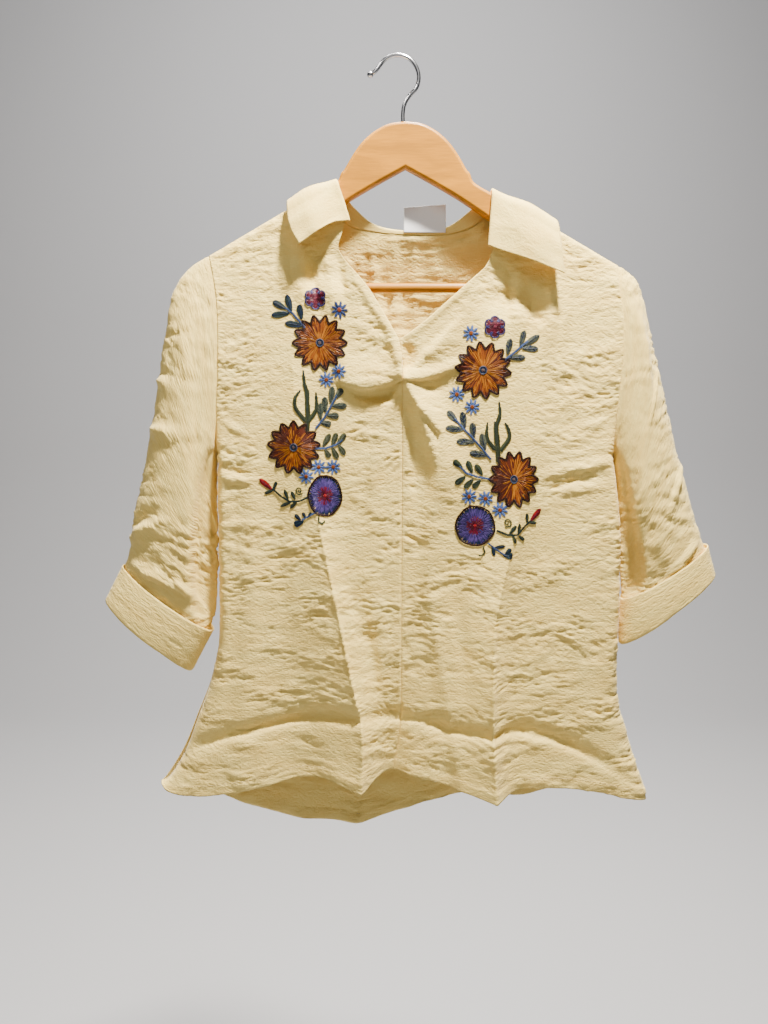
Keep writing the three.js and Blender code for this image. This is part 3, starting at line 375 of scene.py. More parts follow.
# Folds of the sleeves, over the cloth laid flat: round from the outer line, and down from the armhole
SLEEVE_FOLDS = {
    "right": [
        Fold(9, 5, (2, 137, 0), (12, 130, 2), (22, 120, 2.2), (38, 92, 0), sharp=True),
        Fold(10, 4, (2, 183, 0), (18, 170, 3), (32, 148, 2.6), (42, 122, 0), sharp=True),
        Fold(10, 6, (2, 285, 0), (18, 268, 2.8), (32, 245, 3), (47, 208, 0), sharp=True),
        Fold(7, 7, (4, 266, 0), (14, 262, -2), (26, 244, -2), (34, 226, 0)),
        Fold(8, 12, (8, 306, 0), (30, 300, 2.2), (50, 286, 2.4), (66, 268, 0)),
        Fold(6, 9, (40, 262, 0), (60, 280, 2), (78, 300, 0)),
        Fold(12, 14, (30, 6, 0), (34, 60, 2), (36, 130, 0)),
        Fold(8, 8, (52, 20, 0), (56, 80, -2), (58, 150, 0)),
        Fold(6, 9, (70, 120, 0), (84, 132, 2), (94, 150, 0)),
        Fold(9, 12, (120, 60, 0), (136, 120, 2.4), (150, 200, 0)),
        Fold(7, 11, (110, 200, 0), (140, 214, 2.4), (176, 208, 0)),
        Fold(7, 11, (118, 268, 0), (150, 284, 2.6), (184, 276, 0)),
    ],
    "left": [
        Fold(7, 11, (8, 112, 0), (26, 110, 2), (46, 116, 0)),
        Fold(9, 12, (52, 90, 0), (58, 160, 2.2), (60, 230, 0)),
        Fold(6, 6, (66, 180, 0), (68, 240, -2), (64, 300, 0)),
        Fold(7, 9, (46, 210, 0), (50, 260, 2.2), (44, 312, 0)),
        Fold(7, 12, (4, 236, 0), (22, 240, 2.6), (40, 252, 0)),
        Fold(8, 10, (10, 300, 0), (30, 306, 2), (52, 316, 0)),
        Fold(12, 14, (28, 6, 0), (32, 60, 1.8), (34, 120, 0)),
        Fold(9, 12, (120, 60, 0), (138, 130, 2.4), (150, 210, 0)),
        Fold(7, 11, (112, 190, 0), (140, 206, 2.4), (172, 200, 0)),
        Fold(7, 11, (118, 262, 0), (150, 276, 2.6), (180, 270, 0)),
    ],
}


def blend(a, b, t):
    """a where t is 0, b where t is 1."""
    return a + (b - a) * t


def smooth(a, b, x):
    """0 at a, 1 at b, and a soft step between."""
    t = np.clip((x - a) / (b - a), 0, 1)
    return t * t * (3 - 2 * t)


def ripple(u, v, wide, tall, seed):
    """Soft noise over the cloth, about -1 to 1."""
    return np.array([noise.noise((p / wide, q / tall, seed)) for p, q in zip(u, v)]) * 1.6


def crinkle(u, v, seed, across=10.5, tall=4.6):
    """Height of the crepe's small wrinkles, which lie across the cloth, for a height of about 1."""
    bent = v + 8 * ripple(u, v, 52, 36, seed)
    pinched = 0.5 - np.abs(ripple(u, bent, across, tall, seed + 5))
    fine = 0.5 - np.abs(ripple(u, bent, across * 0.7, tall * 0.62, seed + 17))
    loose = ripple(u, bent, across * 2.3, tall * 2.3, seed + 9)
    patch = np.clip(0.7 + 0.75 * ripple(u, v, 46, 30, seed + 13), 0.15, 1.5)
    return (pinched + 0.45 * fine + 0.7 * loose) * patch


def ridge_down(x):
    """How far down the shoulder ridge lies. Inside the neck it stays level."""
    out = np.abs(x - HANGER_X) - SHOULDER_START
    return SHOULDER_DOWN + SHOULDER_FALL * 0.5 * (out + np.sqrt(out * out + 9))


def hang(below, swell, reach):
    """Depth of a panel: a bend over the hanger, then a slow swell."""
    inside = np.clip(below, 0, RIDGE_RADIUS)
    bend = np.sqrt(RIDGE_RADIUS ** 2 - (RIDGE_RADIUS - inside) ** 2)
    past = np.maximum(0, below - RIDGE_RADIUS)
    return SEAM / 2 + bend + swell * (1 - np.exp(-past / reach))


def folded(x, down, swell, folds):
    """Depth of a panel with its folds."""
    depth = hang(down - ridge_down(x), *swell)
    for fold in folds:
        depth = depth + fold.rise(x, down)
    return depth


def front_depth(x, down):
    """How far a front lies before the hanger's middle plane, without its crinkle."""
    return folded(x, down, FRONT_SWELL, FRONT_FOLDS)


def back_depth(x, down):
    """How far the back lies behind the hanger's middle plane, without its crinkle."""
    return folded(x, down, BACK_SWELL, BACK_FOLDS)


def close_side(edge, depth, edge_down, inward):
    """Brings a panel's depth to that of its outer edge: the armhole, then the closed side seam."""
    top = edge.rows[0, 0]
    w = np.clip((edge_down - top) / (UNDERARM_DOWN - top), 0, 1)
    rim = SEAM_OVERLAP + ARMHOLE_DEPTH * (4 * w * (1 - w)) ** (ARMHOLE_POWER / 2)
    seam = smooth(UNDERARM_DOWN - 60, UNDERARM_DOWN - 4, edge_down)
    bend = SIDE_BEND.at(edge_down)
    round_in = np.sqrt(1 - (1 - np.clip(inward / bend, 0, 1)) ** 2)
    gentle = np.sin(np.pi / 2 * np.clip(inward / 34, 0, 1))
    return rim + (depth - rim) * blend(gentle, round_in, seam)


def gathered(across, share):
    """Moves a panel's columns, so that one runs along its pressed crease with others close beside it."""
    inner = np.clip(across / CREASE_COLUMN, 0, 1)
    outer = np.clip((across - CREASE_COLUMN) / (1 - CREASE_COLUMN), 0, 1)
    inner = blend(inner, smooth(0, 1, inner), 0.5)
    outer = blend(outer, smooth(0, 1, outer), 0.5)
    return share * inner + (1 - share) * outer


def lap(side, x, down):
    """How far the wearer's right front lies over the left one, between the V and its tack."""
    edge = np.where(down < V_DOWN, NECK_EDGE["right"].at(down), MIDDLE_SEAM.at(down))
    started = smooth(230, V_DOWN + 4, down) * smooth(TACK_DOWN + 4, TACK_DOWN - 4, down)
    height = LAP_HEIGHT * started * smooth(17, 0, edge - x)
    return height if side == "right" else 0 * height


def front_place(side, across, along):
    """Points of a front: x, y, down, and how far in from the side they lie."""
    sign = -1 if side == "right" else 1
    neck = NECK_EDGE[side]
    edge = SIDE_EDGE[side]
    neck_top = neck.rows[0, 0]
    edge_top, edge_end = edge.rows[0, 0], edge.rows[-1, 0]
    hem_inner = float(FRONT_HEM.at(MIDDLE_SEAM.rows[-1, 1]))
    inner_down = np.where(
        along < V_ALONG,
        blend(neck_top, V_DOWN, along / V_ALONG),
        blend(V_DOWN, hem_inner, (along - V_ALONG) / (1 - V_ALONG)),
    )
    outer_down = blend(edge_top, edge_end, along)
    inner_x = np.where(inner_down < V_DOWN, neck.at(inner_down), MIDDLE_SEAM.at(inner_down))
    inner_x = inner_x + sign * SEAM / 2
    outer_x = edge.at(outer_down)
    crest = Line(*((down, x) for x, down, _ in PRESSED_CREASE[side].line))
    share = np.full(along.shape, CREASE_COLUMN)
    for _ in range(4):
        share = (crest.at(blend(inner_down, outer_down, share)) - inner_x) / (outer_x - inner_x)
    across = gathered(across, share)
    x = blend(inner_x, outer_x, across)
    down = blend(inner_down, outer_down, across)
    down = down + (ridge_down(x) - blend(neck_top, edge_top, across)) * np.clip(1 - along * 20, 0, 1)
    down = down + (FRONT_HEM.at(x) - blend(hem_inner, edge_end, across)) * smooth(0.72, 1, along)
    inward = np.abs(outer_x - x)
    depth = front_depth(x, down) + lap(side, x, down)
    return x, -close_side(edge, depth, outer_down, inward), down, inward


def back_top_x(across):
    """Places of the back's columns along its top: two shoulders, two bends over the ridge, and the neck."""
    right = across < 0.5
    half = np.where(right, across * 2, 2 - across * 2)
    corner = np.where(right, BACK_NECK.rows[0, 0], BACK_NECK.rows[-1, 0])
    side = np.where(right, SIDE_EDGE["right"].rows[0, 1], SIDE_EDGE["left"].rows[0, 1])
    inwards = np.where(right, 1, -1)
    to_neck, past_ridge = BACK_COLUMNS["to_neck"], BACK_COLUMNS["past_ridge"]
    t = np.clip(half / to_neck, 0, 1)
    outside = blend(side, corner, blend(t, t * (2 - t), 0.3))
    turn = np.clip((half - to_neck) / (past_ridge - to_neck), 0, 1) * np.pi / 2
    over = RIDGE_RADIUS * (1 - np.cos(turn)) * BACK_COLUMNS["slant"]
    past = np.clip((half - past_ridge) / (1 - past_ridge), 0, 1)
    middle = (BACK_NECK.rows[0, 0] + BACK_NECK.rows[-1, 0]) / 2
    inside = blend(corner + inwards * over, middle, past ** 1.6)
    return np.where(half <= to_neck, outside, inside)


def back_place(across, along):
    """Points of the back: x, y, down, and how far in from the nearer side they lie."""
    half = np.where(across < 0.5, across * 2, 2 - across * 2)
    spread = blend(half, half * half, 0.85) / 2
    share = np.where(across < 0.5, spread, 1 - spread)

    def side_x(side, t):
        edge = SIDE_EDGE[side]
        return edge.at(blend(edge.rows[0, 0], edge.rows[-1, 0], t))

    right, left = side_x("right", along), side_x("left", along)
    top_even = blend(SIDE_EDGE["right"].rows[0, 1], SIDE_EDGE["left"].rows[0, 1], share)
    end_even = blend(side_x("right", 1.0), side_x("left", 1.0), share)
    top_x = back_top_x(across)
    x = blend(right, left, share) + (top_x - top_even) * smooth(0.3, 0, along)
    in_neck = (top_x > BACK_NECK.rows[0, 0]) & (top_x < BACK_NECK.rows[-1, 0])
    top = np.where(in_neck, BACK_NECK.at(top_x), ridge_down(top_x))
    down = blend(top, BACK_HEM.at(end_even), along)
    depth = back_depth(x, down)
    nearer = x - right < left - x
    inward = np.where(nearer, x - right, left - x)
    closed = {}
    for side in ("right", "left"):
        edge = SIDE_EDGE[side]
        closed[side] = close_side(edge, depth, blend(edge.rows[0, 0], edge.rows[-1, 0], along), inward)
    return x, np.where(nearer, closed["right"], closed["left"]), down, inward


def over_shoulder(x, over, lift):
    """Points above the panels near the neck, by the way over the ridge and the height off the cloth."""
    quarter = RIDGE_RADIUS * np.pi / 2
    ridge = ridge_down(x)
    angle = over / RIDGE_RADIUS
    radius = RIDGE_RADIUS + lift
    down = ridge + RIDGE_RADIUS + np.abs(over) - quarter
    front = folded(x, down, FRONT_SWELL, COLLAR_FOLDS)
    back = folded(x, down, BACK_SWELL, [BACK_FALL])
    depth = np.where(over < 0, front, back)
    near = np.abs(over) <= quarter
    y = np.where(near, radius * np.sin(angle), np.sign(over) * (depth + lift))
    z = np.where(near, -(ridge + RIDGE_RADIUS - radius * np.cos(angle)), -down)
    return x, y, -z


def collar_place(s, through):
    """Points of the collar. through runs from the neck seam, round the roll, to the outer edge."""
    neck, roll, edge = (np.array([COLLAR.at(s, k), COLLAR.at(s, k + 1)]) for k in (1, 3, 5))
    below = np.maximum(0, BACK_NECK.at(neck[0]) - ridge_down(neck[0]))
    bent = RIDGE_RADIUS * np.arccos(np.clip(1 - below / RIDGE_RADIUS, -1, 1))
    flat = below - RIDGE_RADIUS + RIDGE_RADIUS * np.pi / 2
    neck[1] = np.where((s > 1) & (s < 3), np.where(below < RIDGE_RADIUS, bent, flat), neck[1])
    stand, fall = neck - roll, edge - roll
    stand_length = np.maximum(np.hypot(*stand), 1e-6)
    fall_length = np.hypot(*fall)
    stand, fall = stand / stand_length, fall / fall_length
    start = np.maximum(stand_length - 0.6, COLLAR_ROLL + 0.4)
    roll_share = COLLAR_FALL_START - COLLAR_STAND_END
    turn = np.clip((through - COLLAR_STAND_END) / roll_share, 0, 1) * np.pi
    on_stand = through < COLLAR_STAND_END
    on_fall = through > COLLAR_FALL_START
    t = np.clip((through - COLLAR_FALL_START) / (1 - COLLAR_FALL_START), 0, 1)
    near = 0.3
    distance = np.where(on_stand, blend(start, near, through / COLLAR_STAND_END),
                        near - COLLAR_ROLL * np.sin(turn))
    distance = np.where(on_fall, blend(near, fall_length, t), distance)
    lift = np.where(on_stand, 0, COLLAR_LIFT / 2 * (1 - np.cos(turn)))
    leaf_end = smooth(1.5, 0.3, s) + smooth(2.5, 3.7, s)
    fall_lift = COLLAR_LIFT - 0.9 * t + 0.9 * np.sin(np.pi * t) ** 2
    fall_lift = fall_lift + LEAF_LIFT * leaf_end * smooth(0, 0.7, t)
    lift = np.where(on_fall, fall_lift, lift)
    way = np.where(on_stand, stand, fall)
    return over_shoulder(roll[0] + way[0] * distance, roll[1] + way[1] * distance, lift)


def sleeve_place(side, turn, s):
    """Points of a sleeve. turn goes round from the outer line over the front."""
    angle = turn * 2 * np.pi
    across = (1 - np.cos(angle)) / 2
    x = blend(SLEEVE_OUTER[side].at(s, 1), SLEEVE_INNER[side].at(s, 1), across)
    down = blend(SLEEVE_OUTER[side].at(s, 2), SLEEVE_INNER[side].at(s, 2), across)
    edge = SIDE_EDGE[side]
    armhole = blend(edge.rows[0, 0], UNDERARM_DOWN, across)
    bow = edge.at(armhole) - blend(edge.rows[0, 1], edge.at(UNDERARM_DOWN), across)
    x = x + bow * smooth(0.5, 0, s)
    power = blend(ARMHOLE_POWER, 1, smooth(0, 0.3, s))
    swell = np.abs(np.sin(angle)) ** power
    recess = SLEEVE_RECESS[side]
    middle = recess.at(s, 1)
    fall = recess.at(s, 2) * smooth(middle - 0.035, middle + 0.01, across)
    front = swell * SLEEVE_DEPTH.at(s, 1)
    front = np.maximum(front - fall * np.sqrt(swell), front * 0.18)
    y = np.where(np.sin(angle) < 0, swell * SLEEVE_DEPTH.at(s, 2), -front)
    tucked = smooth(0.012, 0, s)
    inward = 1 if side == "right" else -1
    return x + inward * HEAD_TUCK * tucked, y * (1 - 0.07 * tucked), down


def cuff_place(side, turn, through):
    """Points of a cuff: down its outside, round the bottom, and up inside the sleeve."""
    angle = turn * 2 * np.pi
    across = (1 - np.cos(angle)) / 2
    outer, inner = CUFF[side]["outer"], CUFF[side]["inner"]
    outside = np.clip(through / CUFF_OUTSIDE_END, 0, 1)
    back_up = np.clip((through - CUFF_INSIDE_START) / (1 - CUFF_INSIDE_START), 0, 1)
    s = np.where(through < CUFF_OUTSIDE_END, outside, 1 - back_up * CUFF_TURN_UP)
    turned_share = CUFF_INSIDE_START - CUFF_OUTSIDE_END
    bottom = np.clip((through - CUFF_OUTSIDE_END) / turned_share, 0, 1) * np.pi
    inside = 0.5 * (1 - np.cos(bottom)) * np.where(through > CUFF_OUTSIDE_END, 1, 0)
    drop = s + 0.03 * np.sin(bottom)
    x = blend(blend(outer[0][0], outer[1][0], drop), blend(inner[0][0], inner[1][0], drop), across)
    down = blend(blend(outer[0][1], outer[1][1], drop), blend(inner[0][1], inner[1][1], drop), across)
    puff = np.where(through < CUFF_OUTSIDE_END, 1.1 * np.sin(np.pi * outside), 0)
    depth = blend(*CUFF_HALF_DEPTH, s) + puff - CUFF_FOLD_DEPTH * inside
    shrink = 0.05 * inside
    x = blend(x, (outer[1][0] + inner[1][0]) / 2, shrink)
    return x, -np.sin(angle) * depth * (1 - shrink), down


def lifted(place, a, b, lift, step=0.002):
    """Points of a surface moved out along its own normal by lift millimetres."""
    def point(p, q):
        x, y, down = place(p, q)[:3]
        return np.array([x, y, -down])
    middle = point(a, b)
    along_a = point(a + step, b) - point(a - step, b)
    along_b = point(a, b + step) - point(a, b - step)
    normal = np.cross(along_a, along_b, axis=0)
    normal /= np.maximum(np.linalg.norm(normal, axis=0), 1e-9)
    return middle + normal * lift


def settings():
    """The values that a user can change in the panel."""
    return bpy.context.scene.blouse_settings


def new_object(bm, name, material):
    """Turns a finished bmesh into an object with smooth faces."""
    mesh = bpy.data.meshes.new(name)
    bm.to_mesh(mesh)
    bm.free()
    made = bpy.data.objects.new(name, mesh)
    bpy.context.scene.collection.objects.link(made)
    mesh.materials.append(material)
    mesh.polygons.foreach_set("use_smooth", [True] * len(mesh.polygons))
    return made


def finish_piece(bm, name, material, stands_for=()):
    """Turns a finished bmesh into an object that rides on the part."""
    piece = new_object(bm, name, material)
    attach(piece, "root")
    if stands_for:
        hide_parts(*stands_for)
    return piece


def move_grown(bm, grown, vec):
    """Moves the vertices that an extrude has made."""
    verts = [item for item in grown["geom"] if isinstance(item, bmesh.types.BMVert)]
    bmesh.ops.translate(bm, verts=verts, vec=vec)


def flat_as(size):
    """Flat cloth coordinates of a piece of that size, by its columns and rows."""
    return lambda a, b, x, down: (a * size[0], b * size[1])


def cloth_sheet(name, across, along, place, relief, away_from, flat_uv=None, ring=False, thick=BODY_THICK,
                stands_for=(), cloth=None):
    """A thin shell of cloth: a grid laid on the surface place(a, b), then crinkled along its normals.

    away_from is a point on the inner side. flat_uv gives the place on the cloth laid flat, which is x and
    down for a panel that hangs straight. A ring's first and last columns are joined.
    """
    bm = bmesh.new()
    uv_layer = bm.loops.layers.uv.new("cloth")
    bmesh.ops.create_grid(bm, x_segments=across, y_segments=along, size=0.5)
    grid = np.array([vert.co[:2] for vert in bm.verts])
    a, b = grid[:, 0] + 0.5, 0.5 - grid[:, 1]
    x, y, down = place(a, b)[:3]
    for vert, at in zip(bm.verts, np.stack([x, y, -down], 1) * MM):
        vert.co = at
    u, v = flat_uv(a, b, x, down) if flat_uv else (x, down)
    bm.verts.index_update()
    for face in bm.faces:
        for loop in face.loops:
            i = loop.vert.index
            loop[uv_layer].uv = (u[i] * MM, v[i] * MM)
    bm.normal_update()
    away = Vector(away_from) * MM
    if sum(face.normal.dot(face.calc_center_median() - away) * face.calc_area() for face in bm.faces) < 0:
        bmesh.ops.reverse_faces(bm, faces=bm.faces)
        bm.normal_update()
    normals = [vert.normal.copy() for vert in bm.verts]
    if ring:
        order = {}
        for i, (p, q) in enumerate(zip(a, b)):
            order[(round(p, 5), round(q, 5))] = i
        for q in sorted(set(np.round(b, 5))):
            first, last = order[(0.0, q)], order[(1.0, q)]
            shared = (normals[first] + normals[last]).normalized()
            normals[first] = normals[last] = shared
    for vert, normal, height in zip(bm.verts, normals, relief(a, b, u, v)):
        vert.co += normal * float(height) * MM
    if ring:
        bmesh.ops.remove_doubles(bm, verts=bm.verts, dist=0.02 * MM)
    piece = finish_piece(bm, name, cloth or cloth_material(), stands_for)
    shell = piece.modifiers.new("thickness", "SOLIDIFY")
    shell.thickness = thick * MM
    shell.offset = 0
    return piece


# Materials

def new_material(name):
    material = bpy.data.materials.new(name)
    material.use_nodes = True
    nodes = material.node_tree.nodes
    return material, nodes, material.node_tree.links, nodes["Principled BSDF"]


def value_node(nodes, kind, **values):
    """A new node with its sockets, or else its properties, set."""
    node = nodes.new(kind)
    for key, value in values.items():
        if key in node.inputs:
            node.inputs[key].default_value = value
        else:
            setattr(node, key, value)
    return node


def maths(nodes, links, operation, first, second):
    """The result of a sum of two numbers or sockets."""
    node = nodes.new("ShaderNodeMath")
    node.operation = operation
    for socket, value in zip(node.inputs, (first, second)):
        if isinstance(value, (int, float)):
            socket.default_value = value
        else:
            links.new(value, socket)
    return node.outputs[0]


def stretched_noise(nodes, links, vector, scale, detail, roughness, distortion=0.0):
    """Noise over coordinates in metres, with its own scale along each axis."""
    stretch = value_node(nodes, "ShaderNodeMapping", Scale=scale)
    links.new(vector, stretch.inputs["Vector"])
    cloud = value_node(nodes, "ShaderNodeTexNoise", Scale=1.0, Detail=detail, Roughness=roughness,
                       Distortion=distortion)
    links.new(stretch.outputs[0], cloud.inputs["Vector"])
    return cloud.outputs["Fac"]


def even_noise(nodes, links, scale, detail, roughness):
    """Noise over a piece's own coordinates, the same along each axis."""
    coords = nodes.new("ShaderNodeTexCoord")
    cloud = value_node(nodes, "ShaderNodeTexNoise", Scale=scale, Detail=detail, Roughness=roughness)
    links.new(coords.outputs["Object"], cloud.inputs["Vector"])
    return cloud.outputs["Fac"]


def colour_by(nodes, links, shader, amount, *stops):
    """Base colour by an amount, between two (position, colour) stops."""
    ramp = nodes.new("ShaderNodeValToRGB")
    for element, (position, colour) in zip(ramp.color_ramp.elements, stops):
        element.position = position
        element.color = (*colour, 1)
    links.new(amount, ramp.inputs["Fac"])
    links.new(ramp.outputs["Color"], shader.inputs["Base Color"])


def emboss(nodes, links, shader, height, strength, distance):
    """Small relief from a height."""
    relief = value_node(nodes, "ShaderNodeBump", Strength=strength, Distance=distance)
    links.new(height, relief.inputs["Height"])
    links.new(relief.outputs[0], shader.inputs["Normal"])


def set_finish(node, **values):
    """Sets a node's constants. An underscore stands for a space in the socket's name."""
    for name, value in values.items():
        node.inputs[name.replace("_", " ")].default_value = value


def weave_group():
    """Shared cloth surface: slubs, threads and fine crepe wrinkles over flat cloth coordinates."""
    name = "crepe weave"
    if name in bpy.data.node_groups:
        return bpy.data.node_groups[name]
    group = bpy.data.node_groups.new(name, "ShaderNodeTree")
    group.interface.new_socket("Vector", in_out="INPUT", socket_type="NodeSocketVector")
    for label, value in (("Wrinkles", 1.0), ("Threads", 1.0)):
        socket = group.interface.new_socket(label, in_out="INPUT", socket_type="NodeSocketFloat")
        socket.default_value = value
    group.interface.new_socket("Height", in_out="OUTPUT", socket_type="NodeSocketFloat")
    group.interface.new_socket("Shade", in_out="OUTPUT", socket_type="NodeSocketFloat")
    nodes, links = group.nodes, group.links
    given = nodes.new("NodeGroupInput")
    out = nodes.new("NodeGroupOutput")
    vector = given.outputs["Vector"]
    fine = stretched_noise(nodes, links, vector, (150, 240, 1), 3.0, 0.55)
    folded = maths(nodes, links, "ABSOLUTE", maths(nodes, links, "SUBTRACT", fine, 0.5), 0)
    pinched = maths(nodes, links, "SUBTRACT", 1.0, maths(nodes, links, "MULTIPLY", folded, 3.0))
    slub = stretched_noise(nodes, links, vector, (130, 2600, 1), 2.0, 0.5)
    warp = stretched_noise(nodes, links, vector, (2600, 240, 1), 2.0, 0.5)
    threads = maths(nodes, links, "ADD", slub, warp)
    raised = maths(nodes, links, "MULTIPLY", pinched, given.outputs["Wrinkles"])
    grain = maths(nodes, links, "MULTIPLY", maths(nodes, links, "MULTIPLY", threads, 0.22),
                  given.outputs["Threads"])
    links.new(maths(nodes, links, "ADD", raised, grain), out.inputs["Height"])
    patches = stretched_noise(nodes, links, vector, (26, 60, 1), 2.0, 0.5)
    shade = maths(nodes, links, "ADD", maths(nodes, links, "MULTIPLY", slub, 0.45),
                  maths(nodes, links, "MULTIPLY", warp, 0.25))
    links.new(maths(nodes, links, "ADD", shade, maths(nodes, links, "MULTIPLY", patches, 0.35)),
              out.inputs["Shade"])
    return group


def cloth_material(name="butter crepe", wrinkles=1.0, threads=1.0, bump=0.5):
    """Matt butter-coloured crepe with a soft sheen."""
    if name in bpy.data.materials:
        return bpy.data.materials[name]
    chosen = settings()
    material, nodes, links, shader = new_material(name)
    uv = value_node(nodes, "ShaderNodeUVMap", uv_map="cloth")
    weave = nodes.new("ShaderNodeGroup")
    weave.node_tree = weave_group()
    weave.inputs["Wrinkles"].default_value = wrinkles
    weave.inputs["Threads"].default_value = threads
    links.new(uv.outputs[0], weave.inputs["Vector"])
    colour_by(nodes, links, shader, weave.outputs["Shade"], (0.36, chosen.cloth_shade),
              (0.66, chosen.cloth_light))
    emboss(nodes, links, shader, weave.outputs["Height"], bump, 0.0014)
    set_finish(shader, Roughness=0.78, Specular_IOR_Level=0.3, Sheen_Weight=0.25, Sheen_Roughness=0.45,
               Sheen_Tint=(1.0, 0.95, 0.8, 1))
    return material


def thread_material():
    """Glossy thread that takes its colour from the stitches."""
    name = "satin thread"
    if name in bpy.data.materials:
        return bpy.data.materials[name]
    material, nodes, links, shader = new_material(name)
    colour = value_node(nodes, "ShaderNodeAttribute", attribute_name="thread")
    links.new(colour.outputs["Color"], shader.inputs["Base Color"])
    twist = even_noise(nodes, links, 1500.0, 1.0, 0.5)
    emboss(nodes, links, shader, twist, 0.25, 0.0003)
    set_finish(shader, Roughness=0.45, Specular_IOR_Level=0.3)
    return material


def wood_material():
    """Honey-coloured wood with its grain along the hanger, under a thin satin lacquer."""
    name = "lacquered hanger wood"
    if name in bpy.data.materials:
        return bpy.data.materials[name]
    light = Vector(settings().wood_light)
    material, nodes, links, shader = new_material(name)
    coords = nodes.new("ShaderNodeTexCoord").outputs["Object"]
    rings = stretched_noise(nodes, links, coords, (9, 60, 46), 4.0, 0.55, 0.9)
    pores = stretched_noise(nodes, links, coords, (70, 900, 900), 2.0, 0.5)
    figure = maths(nodes, links, "ADD", maths(nodes, links, "MULTIPLY", rings, 0.75),
                   maths(nodes, links, "MULTIPLY", pores, 0.25))
    colour_by(nodes, links, shader, figure, (0.36, light * 0.66), (0.62, light))
    emboss(nodes, links, shader, pores, 0.12, 0.0003)
    set_finish(shader, Roughness=0.45, Specular_IOR_Level=0.3, Coat_Weight=0.12, Coat_Roughness=0.2)
    return material


def steel_material():
    """Bright steel wire, a little hazy in places."""
    name = "bright hook steel"
    if name in bpy.data.materials:
        return bpy.data.materials[name]
    material, nodes, links, shader = new_material(name)
    spread = nodes.new("ShaderNodeMapRange")
    spread.inputs["To Min"].default_value = 0.1
    spread.inputs["To Max"].default_value = 0.26
    links.new(even_noise(nodes, links, 160.0, 3.0, 0.6), spread.inputs["Value"])
    links.new(spread.outputs[0], shader.inputs["Roughness"])
    set_finish(shader, Base_Color=(0.72, 0.72, 0.74, 1), Metallic=1.0)
    return material


def label_material():
    """White satin ribbon."""
    name = "white satin label"
    if name in bpy.data.materials:
        return bpy.data.materials[name]
    material, nodes, links, shader = new_material(name)
    uv = value_node(nodes, "ShaderNodeUVMap", uv_map="cloth")
    weft = stretched_noise(nodes, links, uv.outputs[0], (500, 4200, 1), 2.0, 0.5)
    colour_by(nodes, links, shader, weft, (0, (0.9, 0.89, 0.87)), (1, (0.97, 0.96, 0.95)))
    emboss(nodes, links, shader, weft, 0.2, 0.0002)
    set_finish(shader, Roughness=0.45, Sheen_Weight=0.2)
    return material


# Stitches

def walk(points):
    """The length of a line of points, and a function that gives the point at a distance along it."""
    marks = [0.0]
    for p, q in zip(points, points[1:]):
        marks.append(marks[-1] + math.dist(p, q))

    def at(distance):
        return tuple(float(np.interp(distance, marks, [p[k] for p in points])) for k in (0, 1))

    return marks[-1], at


class Threadwork:
    """Collects stitches, each a raised strip from one point to another, and makes them one mesh."""

    def __init__(self, surface, seed=1):
        self.surface = surface
        self.chance = random.Random(seed)
        self.rows = []

    def stitch(self, start, end, width, height, colour, base=0.25, fade=None):
        """One stitch that lies base above the cloth. Its colour may change to fade at its end."""
        shift = 1 + self.chance.uniform(-0.16, 0.16)
        first = [min(1, c * shift) for c in colour]
        second = [min(1, c * shift) for c in (fade or colour)]
        self.rows.append((*start, *end, width, height, base, *first, *second))

    def path(self, points, width, height, colour, length=3.0, overlap=0.35, base=0.25):
        """A line of stem stitches along a path."""
        whole, at = walk(points)
        count = max(1, round(whole / length))
        step = whole / count
        for i in range(count):
            self.stitch(at((i - overlap) * step), at((i + 1) * step), width, height, colour, base)

    def build(self, name):
        """Makes the piece. A stitch is a strip of 3 columns and 3 rows, highest along its middle."""
        rows = np.array(self.rows, float)
        count = len(rows)
        bm = bmesh.new()
        colours = bm.verts.layers.float_color.new("thread")
        columns = 3 * count - 1
        bmesh.ops.create_grid(bm, x_segments=columns, y_segments=2, size=0.5)
        grid = np.array([vert.co[:2] for vert in bm.verts])
        column = np.rint((grid[:, 0] + 0.5) * columns).astype(int)
        side = np.rint(grid[:, 1] * 2)
        which, along = column // 3, (column % 3) / 2
        row = rows[which]
        start, end = row[:, 0:2], row[:, 2:4]
        way = end - start
        length = np.maximum(np.hypot(way[:, 0], way[:, 1]), 1e-6)
        across = np.stack([-way[:, 1], way[:, 0]], 1) / length[:, None]
        narrow = np.where(along == 0.5, 1.0, 0.62)
        spot = start + way * along[:, None] + across * (side * row[:, 4] / 2 * narrow)[:, None]
        lift = row[:, 6] + row[:, 5] * np.where(side == 0, np.where(along == 0.5, 1.0, 0.55), 0.0)
        points = self.surface(spot[:, 0], spot[:, 1], lift)
        shade = row[:, 7:10] + (row[:, 10:13] - row[:, 7:10]) * along[:, None]
        for vert, at, colour in zip(bm.verts, points.T * MM, shade):
            vert.co = at
            vert[colours] = (*colour, 1)
        bm.verts.index_update()
        between = [face for face in bm.faces
                   if len({which[vert.index] for vert in face.verts}) > 1]
        bmesh.ops.delete(bm, geom=between, context="FACES")
        finish_piece(bm, name, thread_material())


